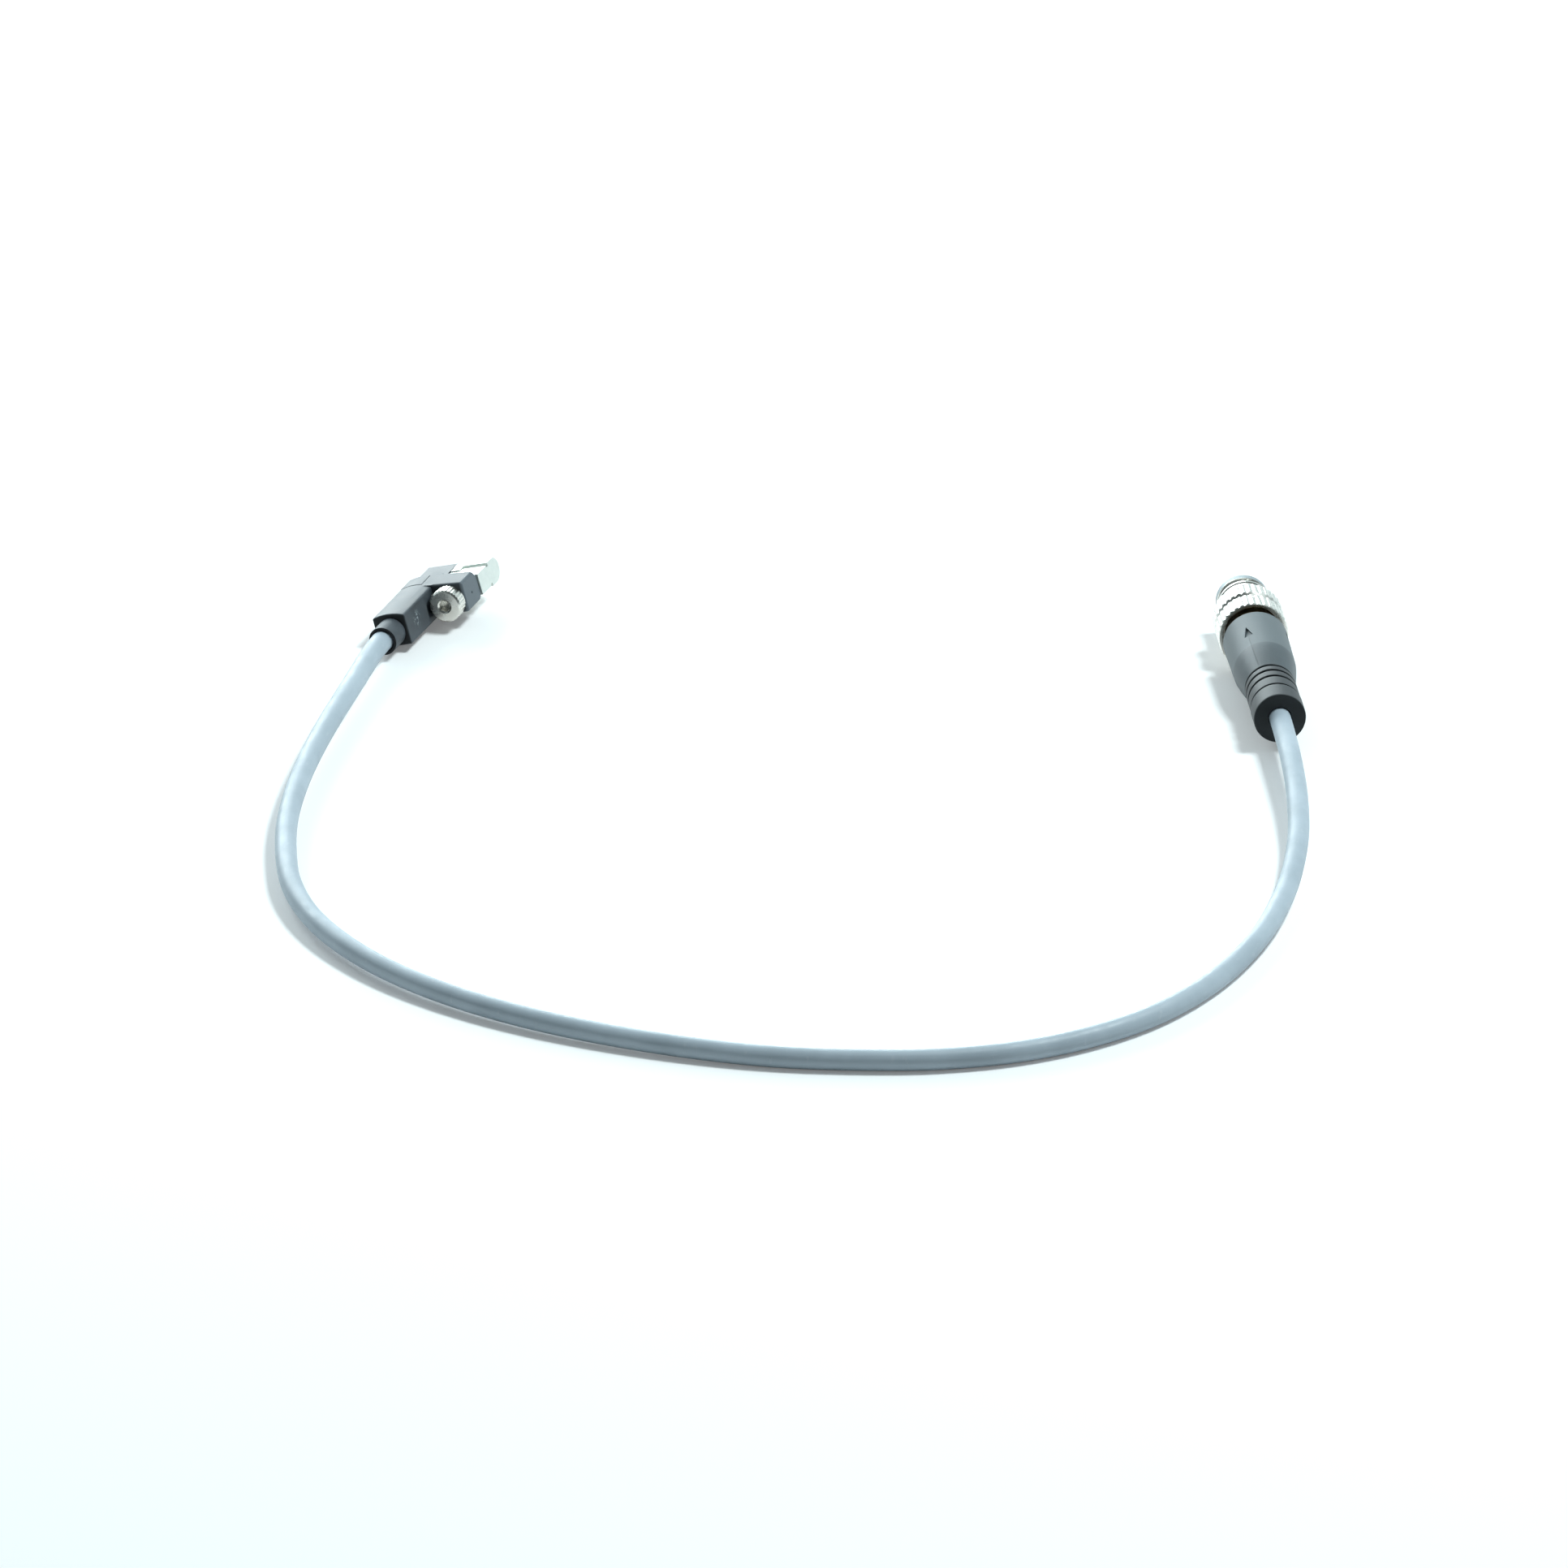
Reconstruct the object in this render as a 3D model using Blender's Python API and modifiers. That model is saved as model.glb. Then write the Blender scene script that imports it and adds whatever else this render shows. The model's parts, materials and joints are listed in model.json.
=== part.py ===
"""Magnetoresistive proximity switch for a cylinder slot, on a short cable with a moulded M8 plug.

The head is modelled in its own frame: X to the right along the slot tongue, Y from the cable
towards the slot, Z through the thickness, with the origin where the cable's axis crosses the
rear face. The plug is modelled in a second frame, with Z along its axis from the cable end to
the pins. Both frames are empties, so every piece is placed in the frame of what carries it.
"""
import math

import bmesh
import bpy
from mathutils import Vector

MM = 0.001

# Fits between neighbouring pieces
FIT = 0.15 * MM
SEAT = 0.05 * MM
RUNNING = 0.1 * MM
CORD_GAP = 0.3 * MM

# How the head lies: rolled about the cable's axis until its lower left edge meets the table
HEAD_ROLL = math.radians(16.2)

# Main housing, seen from above: a slim rear body with an ear for the clamp screw on its right
BODY_WIDTH = 5.24 * MM
BODY_HEIGHT = 4.7 * MM
BODY_LENGTH = 12.0 * MM
EAR_REACH = 4.93 * MM
EAR_FRONT = 11.3 * MM
EAR_DEPTH = 4.8 * MM
EDGE_RADIUS = 0.22 * MM
SIDE_WALL = 1.05 * MM
ROOF_WALL = 0.85 * MM
REAR_WALL = 1.2 * MM
CHAMFER_DEPTH = 0.45 * MM
CHAMFER_DROP = 0.75 * MM
PAD_DEPTH = 0.85 * MM
PAD_HEIGHT = 2.7 * MM

# Sensor cap: the left half of the front, with the black half of the slot tongue
CAP_WIDTH = 3.5 * MM
CAP_WALL = 0.72 * MM
CAP_TONGUE_INSET = 0.3 * MM
CAP_TONGUE_SHORTER = 0.9 * MM
LIP_LENGTH = 1.3 * MM
LIP_THICKNESS = 0.3 * MM

# Slot tongue: a neck that passes the slot's mouth and a round head that sits behind its lips
TONGUE_DROP = 0.25 * MM
NECK_THICKNESS = 3.1 * MM
NECK_LENGTH = 3.3 * MM
TONGUE_HEAD_THICKNESS = 3.55 * MM
TONGUE_DEPTH = 7.8 * MM
NOSE_LENGTH = 2.0 * MM
NOSE_STEPS = 12
RELIEF_DEPTH = 0.22 * MM
RELIEF_LENGTH = 0.7 * MM
BLACK_THINNER = 0.5 * MM
BAR_WIDTH = 5.35 * MM
BAR_SHOULDER_WIDTH = 1.5 * MM
BAR_SHOULDER_LENGTH = 1.3 * MM
BAR_OVERHANG = 0.15 * MM
BAR_EDGE = 0.12 * MM
BAR_HOLE_DEPTH = 6.3 * MM

# Clamp screw: knurled head with a hexagon socket
SCREW_OFFSET = 5.0 * MM
SCREW_DROP = 0.25 * MM
SCREW_HEAD_DIAMETER = 5.05 * MM
SCREW_HEAD_LENGTH = 2.2 * MM
SCREW_KNURL_DEPTH = 0.14 * MM
SCREW_KNURL_TEETH = 30
SCREW_HEAD_CHAMFER = 0.28 * MM
SCREW_THREAD_DIAMETER = 2.0 * MM
SCREW_THREAD_LENGTH = 10.9 * MM
SCREW_POINT = 0.3 * MM
SOCKET_ACROSS_FLATS = 2.0 * MM
SOCKET_DEPTH = 1.3 * MM
SCALLOP_CLEARANCE = 0.4 * MM
SCALLOP_RUN = 3.3 * MM
SCALLOP_TAPER = 0.3 * MM

# Cable boot: a sleeve whose neck is held in the rear wall by an inner flange
BOOT_DIAMETER = 4.3 * MM
BOOT_LENGTH = 4.0 * MM
BOOT_RECESS = 1.9 * MM
BOOT_NECK_DIAMETER = 2.5 * MM
BOOT_BORE_DIAMETER = 1.9 * MM
BOOT_FLANGE_DIAMETER = 2.78 * MM
BOOT_FLANGE_THICKNESS = 0.7 * MM
BOOT_ROUNDING = 0.12 * MM

# Circuit board and what is soldered to it
BOARD_THICKNESS = 0.4 * MM
BOARD_DROP = 0.5 * MM
BOARD_START = 3.4 * MM
BOARD_STEP = 10.4 * MM
BOARD_NARROW_WIDTH = 1.5 * MM
BOARD_NOSE_GAP = 1.5 * MM
BRIDGE_CHIP_SIZE = (1.0 * MM, 1.8 * MM, 0.5 * MM)
SWITCHING_CHIP_SIZE = (1.8 * MM, 2.2 * MM, 0.6 * MM)
LED_SIZE = (0.8 * MM, 1.2 * MM, 0.5 * MM)
CAPACITOR_SIZE = (1.6 * MM, 0.8 * MM, 0.5 * MM)
CHIP_EDGE = 0.08 * MM
CHIP_SPACING = 0.45 * MM
SOLDER_TAIL = 1.6 * MM

# Cable
CABLE_DIAMETER = 3.18 * MM
LEAD_DIAMETER = 0.7 * MM
LEAD_CIRCLE_RADIUS = 0.5 * MM
LEAD_PITCH = 0.95 * MM
LEAD_FIRST_ANGLE = math.radians(210)
LEAD_STEP = 0.9 * MM
TUBE_STEP = 7.2 * MM
CABLE_ROUTE = [
    (-0.7, -33.0, 2.8),
    (1.4, -50.0, 2.7),
    (4.2, -66.3, 2.6),
    (7.7, -80.5, 2.5),
    (11.9, -92.4, 2.45),
    (17.0, -103.5, 2.4),
    (23.8, -113.3, 2.3),
    (32.2, -121.4, 2.2),
    (42.0, -128.0, 2.1),
    (53.5, -133.1, 2.0),
    (65.8, -136.4, 1.9),
    (78.4, -138.0, 1.8),
    (91.8, -138.2, 1.7),
    (104.6, -136.8, 1.6),
    (116.6, -133.6, 1.6),
    (127.6, -129.2, 1.6),
    (137.6, -122.4, 1.6),
    (145.6, -113.4, 1.6),
    (151.6, -102.0, 1.6),
    (155.0, -87.5, 1.6),
    (155.6, -71.0, 1.7),
    (153.6, -54.2, 2.1),
    (149.9, -39.0, 3.0),
    (145.4, -26.6, 4.1),
    (140.2, -14.9, 5.0),
]

# Plug: where its cable end lies on the table, and which way its pins point
PLUG_END = (133.3 * MM, -0.9 * MM)
PLUG_HEADING = math.radians(117.1)
PLUG_RECESS = 2.8 * MM
PLUG_END_DIAMETER = 7.75 * MM
RIB_DIAMETER = 7.6 * MM
GROOVE_POSITIONS = (4.25 * MM, 7.35 * MM, 9.5 * MM, 11.35 * MM)
GROOVE_WIDTH = 0.42 * MM
GROOVE_DEPTH = 0.42 * MM
RIB_CROWN = 0.12 * MM
WAIST_DIAMETER = 7.5 * MM
SHOULDER_POSITION = 18.15 * MM
SHOULDER_DIAMETER = 9.3 * MM
SHOULDER_LEDGE = 0.12 * MM
SHOULDER_STEPS = 7
SHOULDER_FULLNESS = 1.55
PLUG_BODY_LENGTH = 29.2 * MM
PLUG_FRONT_DIAMETER = 9.6 * MM
TUNNEL_DIAMETER = 3.0 * MM
CAVITY_START = 15.2 * MM
CAVITY_DIAMETER = 7.4 * MM
ARROW_LENGTH = 2.4 * MM
ARROW_WIDTH = 1.1 * MM
ARROW_DEPTH = 0.25 * MM
ARROW_SPOTS = ((math.radians(25), 21.8 * MM), (math.radians(-68), 26.6 * MM))

# Brass sleeve that carries the nut
SLEEVE_DIAMETER = 8.0 * MM
SLEEVE_START = 25.4 * MM
SLEEVE_LENGTH = 8.6 * MM

# Contact carrier and pins, numbered as on every three-pin M8 plug
CARRIER_DIAMETER = 5.9 * MM
CARRIER_START = 18.6 * MM
CARRIER_COLLAR_DIAMETER = 7.1 * MM
CARRIER_COLLAR_LENGTH = 3.4 * MM
CARRIER_FLANGE_DIAMETER = 6.4 * MM
CARRIER_FLANGE_THICKNESS = 1.2 * MM
KEY_WIDTH = 0.9 * MM
KEY_DEPTH = 0.45 * MM
PIN_DIAMETER = 1.0 * MM
PIN_CIRCLE_RADIUS = 1.65 * MM
PIN_TIP = 43.3 * MM
PIN_TIP_STEPS = 4
PIN_BACK = 17.0 * MM
PIN_CUP_DIAMETER = 1.3 * MM
PIN_CUP_LENGTH = 1.4 * MM
PIN_ANGLES = {"1": 30, "3": 150, "4": 270}
LEAD_OF_PIN = {"1": "brown", "3": "blue", "4": "black"}

# Coupling nut: two knurled rings and an external M8 thread, left plain here
NUT_START = 31.3 * MM
NUT_DIAMETER = 10.5 * MM
KNURL_RING_LENGTH = 2.9 * MM
KNURL_GROOVE_LENGTH = 0.5 * MM
KNURL_GROOVE_DIAMETER = 9.7 * MM
KNURL_DEPTH = 0.4 * MM
KNURL_TEETH = 36
KNURL_BEVEL = 0.6 * MM
NUT_RECESS_DIAMETER = 9.2 * MM
NUT_RECESS_DEPTH = 1.5 * MM
NUT_SHOULDER_THICKNESS = 1.6 * MM
THREAD_DIAMETER = 7.95 * MM
NUT_FRONT_BORE = 6.6 * MM
NUT_LENGTH = 14.2 * MM
NUT_LEAD_IN = 0.35 * MM

# Points taken from the values above
BODY_HALF = BODY_WIDTH / 2
TOP = BODY_HEIGHT / 2
CAVITY_HALF_WIDTH = BODY_HALF - SIDE_WALL
CAVITY_HALF_HEIGHT = TOP - ROOF_WALL
EAR_END = BODY_HALF + EAR_REACH
EAR_BACK = EAR_FRONT + EAR_DEPTH
SPLIT = -BODY_HALF + CAP_WIDTH
CAP_FRONT = BODY_LENGTH + FIT
CAP_BACK = EAR_BACK
BAR_FRONT = EAR_BACK + PAD_DEPTH + FIT
BAR_RIGHT = EAR_END + BAR_OVERHANG
BAR_LEFT = BAR_RIGHT - BAR_WIDTH
CAP_TONGUE_END = BAR_FRONT + TONGUE_DEPTH - CAP_TONGUE_SHORTER
BOARD_TOP = -BOARD_DROP + BOARD_THICKNESS / 2
BOARD_LEFT = -CAVITY_HALF_WIDTH + RUNNING
BOARD_END = CAP_TONGUE_END - BOARD_NOSE_GAP
NUT_END = NUT_START + NUT_LENGTH
SLEEVE_END = SLEEVE_START + SLEEVE_LENGTH
CARRIER_FLANGE_START = SLEEVE_END + FIT + NUT_SHOULDER_THICKNESS + FIT
CARRIER_END = CARRIER_FLANGE_START + CARRIER_FLANGE_THICKNESS
PLUG_AXIS_HEIGHT = NUT_DIAMETER / 2


def clear_scene():
    """Take away whatever the file opened with."""
    for existing in list(bpy.data.objects):
        bpy.data.objects.remove(existing, do_unlink=True)


def collection(name):
    """A new collection under the scene."""
    group = bpy.data.collections.new(name)
    bpy.context.scene.collection.children.link(group)
    return group


def finish(name, colour, roughness, metallic=0.0):
    """A plain material for one kind of surface."""
    made = bpy.data.materials.new(name)
    made.use_nodes = True
    shader = made.node_tree.nodes["Principled BSDF"]
    shader.inputs["Base Color"].default_value = (*colour, 1.0)
    shader.inputs["Roughness"].default_value = roughness
    shader.inputs["Metallic"].default_value = metallic
    return made


def add(name, data, parent, material=None, location=(0, 0, 0), rotation=(0, 0, 0)):
    """Put a mesh or curve into the scene; without a material it is a cutting tool."""
    made = bpy.data.objects.new(name, data)
    made.parent = parent
    made.location = location
    made.rotation_euler = rotation
    if material is None:
        TOOLS.objects.link(made)
        made.hide_render = True
        made.display_type = "WIRE"
    else:
        PARTS.objects.link(made)
        data.materials.append(material)
    return made


def mesh_from(shape, name):
    """Turn a bmesh into a mesh and free it."""
    mesh = bpy.data.meshes.new(name)
    shape.to_mesh(mesh)
    shape.free()
    return mesh


def box(name, low, high, parent, material=None):
    """A box between two corners of its parent's frame."""
    shape = bmesh.new()
    bmesh.ops.create_cube(shape, size=1.0)
    bmesh.ops.scale(shape, vec=Vector(high) - Vector(low), verts=shape.verts)
    middle = (Vector(low) + Vector(high)) / 2
    return add(name, mesh_from(shape, name), parent, material, location=middle)


def turned(name, profile, parent, material=None, closed=False, steps=40, **placing):
    """A solid of revolution about its own Z, from (radius, height) points down its outer side."""
    count = len(profile)
    edges = [(i, i + 1) for i in range(count - 1)]
    if closed:
        edges.append((count - 1, 0))
    mesh = bpy.data.meshes.new(name)
    mesh.from_pydata([(radius, 0, height) for radius, height in profile], edges, [])
    made = add(name, mesh, parent, material, **placing)
    spin = made.modifiers.new("Turn", "SCREW")
    spin.axis = "Z"
    spin.angle = math.tau
    spin.screw_offset = 0
    spin.steps = steps
    spin.render_steps = steps
    spin.use_merge_vertices = True
    spin.merge_threshold = 0.000001
    spin.use_smooth_shade = True
    return made


def prism(name, outline, thickness, parent, material=None, **placing):
    """A flat outline given thickness about its own XY plane, as a mesh that can be cut."""
    flat = bpy.data.curves.new(name, "CURVE")
    flat.dimensions = "2D"
    flat.fill_mode = "BOTH"
    flat.extrude = thickness / 2
    spline = flat.splines.new("POLY")
    spline.points.add(len(outline) - 1)
    for point, (x, y) in zip(spline.points, outline):
        point.co = (x, y, 0, 1)
    spline.use_cyclic_u = True
    drawn = add(name + "_outline", flat, None)
    solid = bpy.data.meshes.new_from_object(drawn.evaluated_get(bpy.context.evaluated_depsgraph_get()))
    bpy.data.objects.remove(drawn)
    shape = bmesh.new()
    shape.from_mesh(solid)
    bmesh.ops.remove_doubles(shape, verts=shape.verts, dist=0.000001)
    bmesh.ops.recalc_face_normals(shape, faces=shape.faces)
    return add(name, mesh_from(shape, name), parent, material, **placing)


def fluted(name, levels, teeth, parent, material=None, **placing):
    """A body with teeth round it, drawn up through (height, root radius, tip radius) levels."""
    shape = bmesh.new()
    bmesh.ops.create_circle(shape, cap_ends=True, radius=1.0, segments=2 * teeth)
    shape.faces.ensure_lookup_table()
    top = shape.faces[0]
    for number, (height, root, tip) in enumerate(levels):
        if number:
            drawn = bmesh.ops.extrude_face_region(shape, geom=[top, *top.edges])["geom"]
            top = next(item for item in drawn if isinstance(item, bmesh.types.BMFace))
        for vertex in top.verts:
            angle = math.atan2(vertex.co.y, vertex.co.x)
            valley = round(angle / (math.pi / teeth)) % 2
            radius = root if valley else tip
            vertex.co = (radius * math.cos(angle), radius * math.sin(angle), height)
    bmesh.ops.recalc_face_normals(shape, faces=shape.faces)
    return add(name, mesh_from(shape, name), parent, material, **placing)


def round_bar(name, radius, start, end, parent, radius_end=None, segments=32, **placing):
    """A cylinder or cone along its own Z, used as a cutting tool."""
    shape = bmesh.new()
    bmesh.ops.create_cone(shape, cap_ends=True, segments=segments, radius1=radius,
                          radius2=radius if radius_end is None else radius_end, depth=end - start)
    bmesh.ops.translate(shape, vec=(0, 0, (start + end) / 2), verts=shape.verts)
    return add(name, mesh_from(shape, name), parent, **placing)


def wire(name, points, diameter, parent, material, resolution=2):
    """A round wire or tube through points, with closed ends."""
    path = bpy.data.curves.new(name, "CURVE")
    path.dimensions = "3D"
    path.bevel_depth = diameter / 2
    path.bevel_resolution = resolution
    path.use_fill_caps = True
    spline = path.splines.new("POLY")
    spline.points.add(len(points) - 1)
    for point, place in zip(spline.points, points):
        point.co = (*place, 1)
    return add(name, path, parent, material)


def smooth_points(points, step):
    """Points a step apart on a smooth curve through the given ones."""
    places = [Vector(point) for point in points]
    places = [2 * places[0] - places[1], *places, 2 * places[-1] - places[-2]]
    found = [places[1]]
    for a, b, c, d in zip(places, places[1:], places[2:], places[3:]):
        pieces = max(1, round((c - b).length / step))
        for i in range(1, pieces + 1):
            t = i / pieces
            found.append(0.5 * (2 * b + (c - a) * t + (2 * a - 5 * b + 4 * c - d) * t ** 2
                                + (3 * b - a - 3 * c + d) * t ** 3))
    return found


def combine(body, tool, operation):
    """Add a Boolean to a body; the tool stays hidden beside it."""
    step = body.modifiers.new(operation.capitalize(), "BOOLEAN")
    step.operation = operation
    step.solver = "EXACT"
    step.object = tool


def soften(body, width, segments=2):
    """Round a body's edges."""
    edge = body.modifiers.new("Edges", "BEVEL")
    edge.width = width
    edge.segments = segments
    edge.limit_method = "ANGLE"


ALONG_Y = (math.radians(-90), 0, 0)
SECTION_ACROSS_X = (math.radians(90), 0, math.radians(90))


def tongue_outline(start, end, neck, head):
    """The slot tongue's section in the head's YZ plane, with a round nose at its far end."""
    step = BAR_FRONT + NECK_LENGTH
    nose_centre = end - NOSE_LENGTH
    upper = [
        (start, neck / 2),
        (step - RELIEF_LENGTH, neck / 2),
        (step - RELIEF_LENGTH / 2, neck / 2 - RELIEF_DEPTH),
        (step, neck / 2 - RELIEF_DEPTH),
        (step, head / 2),
    ]
    arc = []
    for i in range(NOSE_STEPS + 1):
        angle = math.pi / 2 - math.pi * i / NOSE_STEPS
        arc.append((nose_centre + NOSE_LENGTH * math.cos(angle), head / 2 * math.sin(angle)))
    lower = [(y, -z) for y, z in reversed(upper)]
    return upper + arc + lower


def back_chamfer(name, left, right, back, head):
    """A wedge that takes the top edge off the back of a block."""
    spare = FIT
    outline = [
        (back - CHAMFER_DEPTH - spare, TOP + spare * CHAMFER_DROP / CHAMFER_DEPTH),
        (back + spare, TOP - CHAMFER_DROP - spare * CHAMFER_DROP / CHAMFER_DEPTH),
        (back + spare, TOP + spare * CHAMFER_DROP / CHAMFER_DEPTH),
    ]
    middle = ((left + right) / 2, 0, 0)
    return prism(name, outline, right - left, head, location=middle, rotation=SECTION_ACROSS_X)


def make_main_housing(head, plastic):
    """Rear body and ear, moulded as one, open towards the sensor cap."""
    plan = [
        (-BODY_HALF, 0),
        (BODY_HALF, 0),
        (BODY_HALF, EAR_FRONT),
        (EAR_END, EAR_FRONT),
        (EAR_END, EAR_BACK),
        (SPLIT + FIT, EAR_BACK),
        (SPLIT + FIT, BODY_LENGTH),
        (-BODY_HALF, BODY_LENGTH),
    ]
    housing = prism("main_housing", plan, BODY_HEIGHT, head, plastic)
    soften(housing, EDGE_RADIUS)
    pad = box("seat_pad", (BAR_LEFT, EAR_BACK - PAD_DEPTH, -TONGUE_DROP - PAD_HEIGHT / 2),
              (BAR_RIGHT, EAR_BACK + PAD_DEPTH, -TONGUE_DROP + PAD_HEIGHT / 2), head)
    combine(housing, pad, "UNION")
    chamfer = back_chamfer("ear_chamfer", SPLIT - CAP_WIDTH, BAR_RIGHT + PAD_DEPTH, EAR_BACK, head)
    combine(housing, chamfer, "DIFFERENCE")
    hollow = box("housing_hollow", (-CAVITY_HALF_WIDTH, REAR_WALL, -CAVITY_HALF_HEIGHT),
                 (SPLIT - LIP_THICKNESS, BODY_LENGTH + PAD_DEPTH, CAVITY_HALF_HEIGHT), head)
    wide = box("housing_pocket", (-CAVITY_HALF_WIDTH, REAR_WALL, -CAVITY_HALF_HEIGHT),
               (CAVITY_HALF_WIDTH, BOARD_STEP + FIT, CAVITY_HALF_HEIGHT), head)
    combine(hollow, wide, "UNION")
    combine(housing, hollow, "DIFFERENCE")
    gland = round_bar("boot_bore", BOOT_NECK_DIAMETER / 2 + SEAT, -REAR_WALL, 2 * REAR_WALL, head,
                      rotation=ALONG_Y)
    combine(housing, gland, "DIFFERENCE")
    screw_axis = (SCREW_OFFSET, 0, -SCREW_DROP)
    bore = round_bar("screw_bore", SCREW_THREAD_DIAMETER / 2 + RUNNING, EAR_FRONT - EAR_DEPTH,
                     EAR_BACK + 2 * PAD_DEPTH, head, location=screw_axis, rotation=ALONG_Y)
    combine(housing, bore, "DIFFERENCE")
    wide_end = SCREW_HEAD_DIAMETER / 2 + SCALLOP_CLEARANCE
    scallop = round_bar("screw_scallop", wide_end - SCALLOP_TAPER, EAR_FRONT - SCALLOP_RUN, EAR_FRONT,
                        head, radius_end=wide_end, segments=48, location=screw_axis, rotation=ALONG_Y)
    combine(housing, scallop, "DIFFERENCE")
    return housing


def make_sensor_cap(head, plastic):
    """Left half of the front: a block that closes the housing, with the black half of the tongue."""
    cap = box("sensor_cap", (-BODY_HALF, CAP_FRONT, -TOP), (SPLIT, CAP_BACK, TOP), head, plastic)
    soften(cap, EDGE_RADIUS)
    left = -BODY_HALF + CAP_TONGUE_INSET
    right = BAR_LEFT - FIT
    neck = NECK_THICKNESS - BLACK_THINNER
    outline = tongue_outline(CAP_BACK + FIT, CAP_TONGUE_END, neck, TONGUE_HEAD_THICKNESS - BLACK_THINNER)
    tongue = prism("black_tongue", outline, right - left, head,
                   location=((left + right) / 2, 0, -TONGUE_DROP), rotation=SECTION_ACROSS_X)
    combine(cap, tongue, "UNION")
    root = box("tongue_root", (left, CAP_BACK - FIT, -TONGUE_DROP - neck / 2),
               (SPLIT, CAP_BACK + 2 * FIT, -TONGUE_DROP + neck / 2), head)
    combine(cap, root, "UNION")
    lip_top = CAVITY_HALF_HEIGHT - RUNNING
    for side in (1, -1):
        heights = sorted((side * lip_top, side * (lip_top - LIP_THICKNESS)))
        lip = box("cap_lip", (BOARD_LEFT, CAP_FRONT - LIP_LENGTH, heights[0]),
                  (SPLIT - LIP_THICKNESS - RUNNING, CAP_FRONT + CAP_WALL, heights[1]), head)
        combine(cap, lip, "UNION")
    chamfer = back_chamfer("cap_chamfer", -BODY_WIDTH, SPLIT + FIT, CAP_BACK, head)
    combine(cap, chamfer, "DIFFERENCE")
    room = NECK_THICKNESS / 2 - CAP_WALL
    hollow = box("cap_hollow", (BOARD_LEFT - FIT, CAP_FRONT - LIP_LENGTH * 2, -TONGUE_DROP - room),
                 (BOARD_LEFT + BOARD_NARROW_WIDTH + FIT, BOARD_END + FIT, -TONGUE_DROP + room), head)
    combine(cap, hollow, "DIFFERENCE")
    return cap


def make_cable_boot(head, rubber):
    """Sleeve round the cable where it enters the head."""
    mouth, floor = -BOOT_LENGTH, -BOOT_LENGTH + BOOT_RECESS
    flange = REAR_WALL + FIT
    outer = BOOT_DIAMETER / 2
    profile = [
        (BOOT_BORE_DIAMETER / 2, flange + BOOT_FLANGE_THICKNESS),
        (BOOT_FLANGE_DIAMETER / 2, flange + BOOT_FLANGE_THICKNESS),
        (BOOT_FLANGE_DIAMETER / 2, flange),
        (BOOT_NECK_DIAMETER / 2, flange),
        (BOOT_NECK_DIAMETER / 2, -SEAT),
        (outer - BOOT_ROUNDING, -SEAT),
        (outer, -SEAT - BOOT_ROUNDING),
        (outer, mouth + BOOT_ROUNDING),
        (outer - BOOT_ROUNDING, mouth),
        (CABLE_DIAMETER / 2 + FIT, mouth),
        (CABLE_DIAMETER / 2 + RUNNING, floor),
        (BOOT_BORE_DIAMETER / 2, floor),
    ]
    return turned("cable_boot", profile, head, rubber, closed=True, rotation=ALONG_Y)


def make_clamp_bar(head, steel):
    """Metal half of the slot tongue, tapped for the clamp screw."""
    outline = tongue_outline(BAR_FRONT, BAR_FRONT + TONGUE_DEPTH, NECK_THICKNESS, TONGUE_HEAD_THICKNESS)
    bar = prism("clamp_bar", outline, BAR_WIDTH, head, steel,
                location=((BAR_LEFT + BAR_RIGHT) / 2, 0, -TONGUE_DROP), rotation=SECTION_ACROSS_X)
    step = BAR_FRONT + NECK_LENGTH
    half = TONGUE_HEAD_THICKNESS / 2
    shoulder = box("bar_shoulder", (BAR_LEFT, step - BAR_SHOULDER_LENGTH, -TONGUE_DROP - half),
                   (BAR_LEFT + BAR_SHOULDER_WIDTH, step + BAR_SHOULDER_LENGTH, -TONGUE_DROP + half), head)
    combine(bar, shoulder, "UNION")
    soften(bar, BAR_EDGE, 1)
    hole = round_bar("bar_hole", SCREW_THREAD_DIAMETER / 2 + RUNNING, BAR_FRONT - PAD_DEPTH,
                     BAR_FRONT + BAR_HOLE_DEPTH, head,
                     location=(SCREW_OFFSET, 0, -SCREW_DROP), rotation=ALONG_Y)
    combine(bar, hole, "DIFFERENCE")
    return bar


def make_clamp_screw(head, steel):
    """Screw with a knurled head and a hexagon socket; it draws the bar towards the ear."""
    seat = EAR_FRONT - FIT
    face = seat - SCREW_HEAD_LENGTH
    tip = SCREW_HEAD_DIAMETER / 2
    root = tip - SCREW_KNURL_DEPTH
    low = tip - SCREW_HEAD_CHAMFER
    place = {"location": (SCREW_OFFSET, 0, -SCREW_DROP), "rotation": ALONG_Y}
    levels = [(face, low, low), (face + SCREW_HEAD_CHAMFER, root, tip),
              (seat - SCREW_KNURL_DEPTH, root, tip), (seat, root, root)]
    screw = fluted("clamp_screw", levels, SCREW_KNURL_TEETH, head, steel, **place)
    radius = SCREW_THREAD_DIAMETER / 2
    end = seat + SCREW_THREAD_LENGTH
    root_end = seat - SOCKET_DEPTH / 2
    shank = turned("screw_shank", [(0, end), (radius - SCREW_POINT, end), (radius, end - SCREW_POINT),
                                   (radius, root_end), (0, root_end)], head, steps=24, **place)
    combine(screw, shank, "UNION")
    across_corners = SOCKET_ACROSS_FLATS / math.cos(math.radians(30))
    key = round_bar("screw_socket", across_corners / 2, face - SOCKET_DEPTH, face + SOCKET_DEPTH, head,
                    segments=6, **place)
    combine(screw, key, "DIFFERENCE")
    return screw


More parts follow.
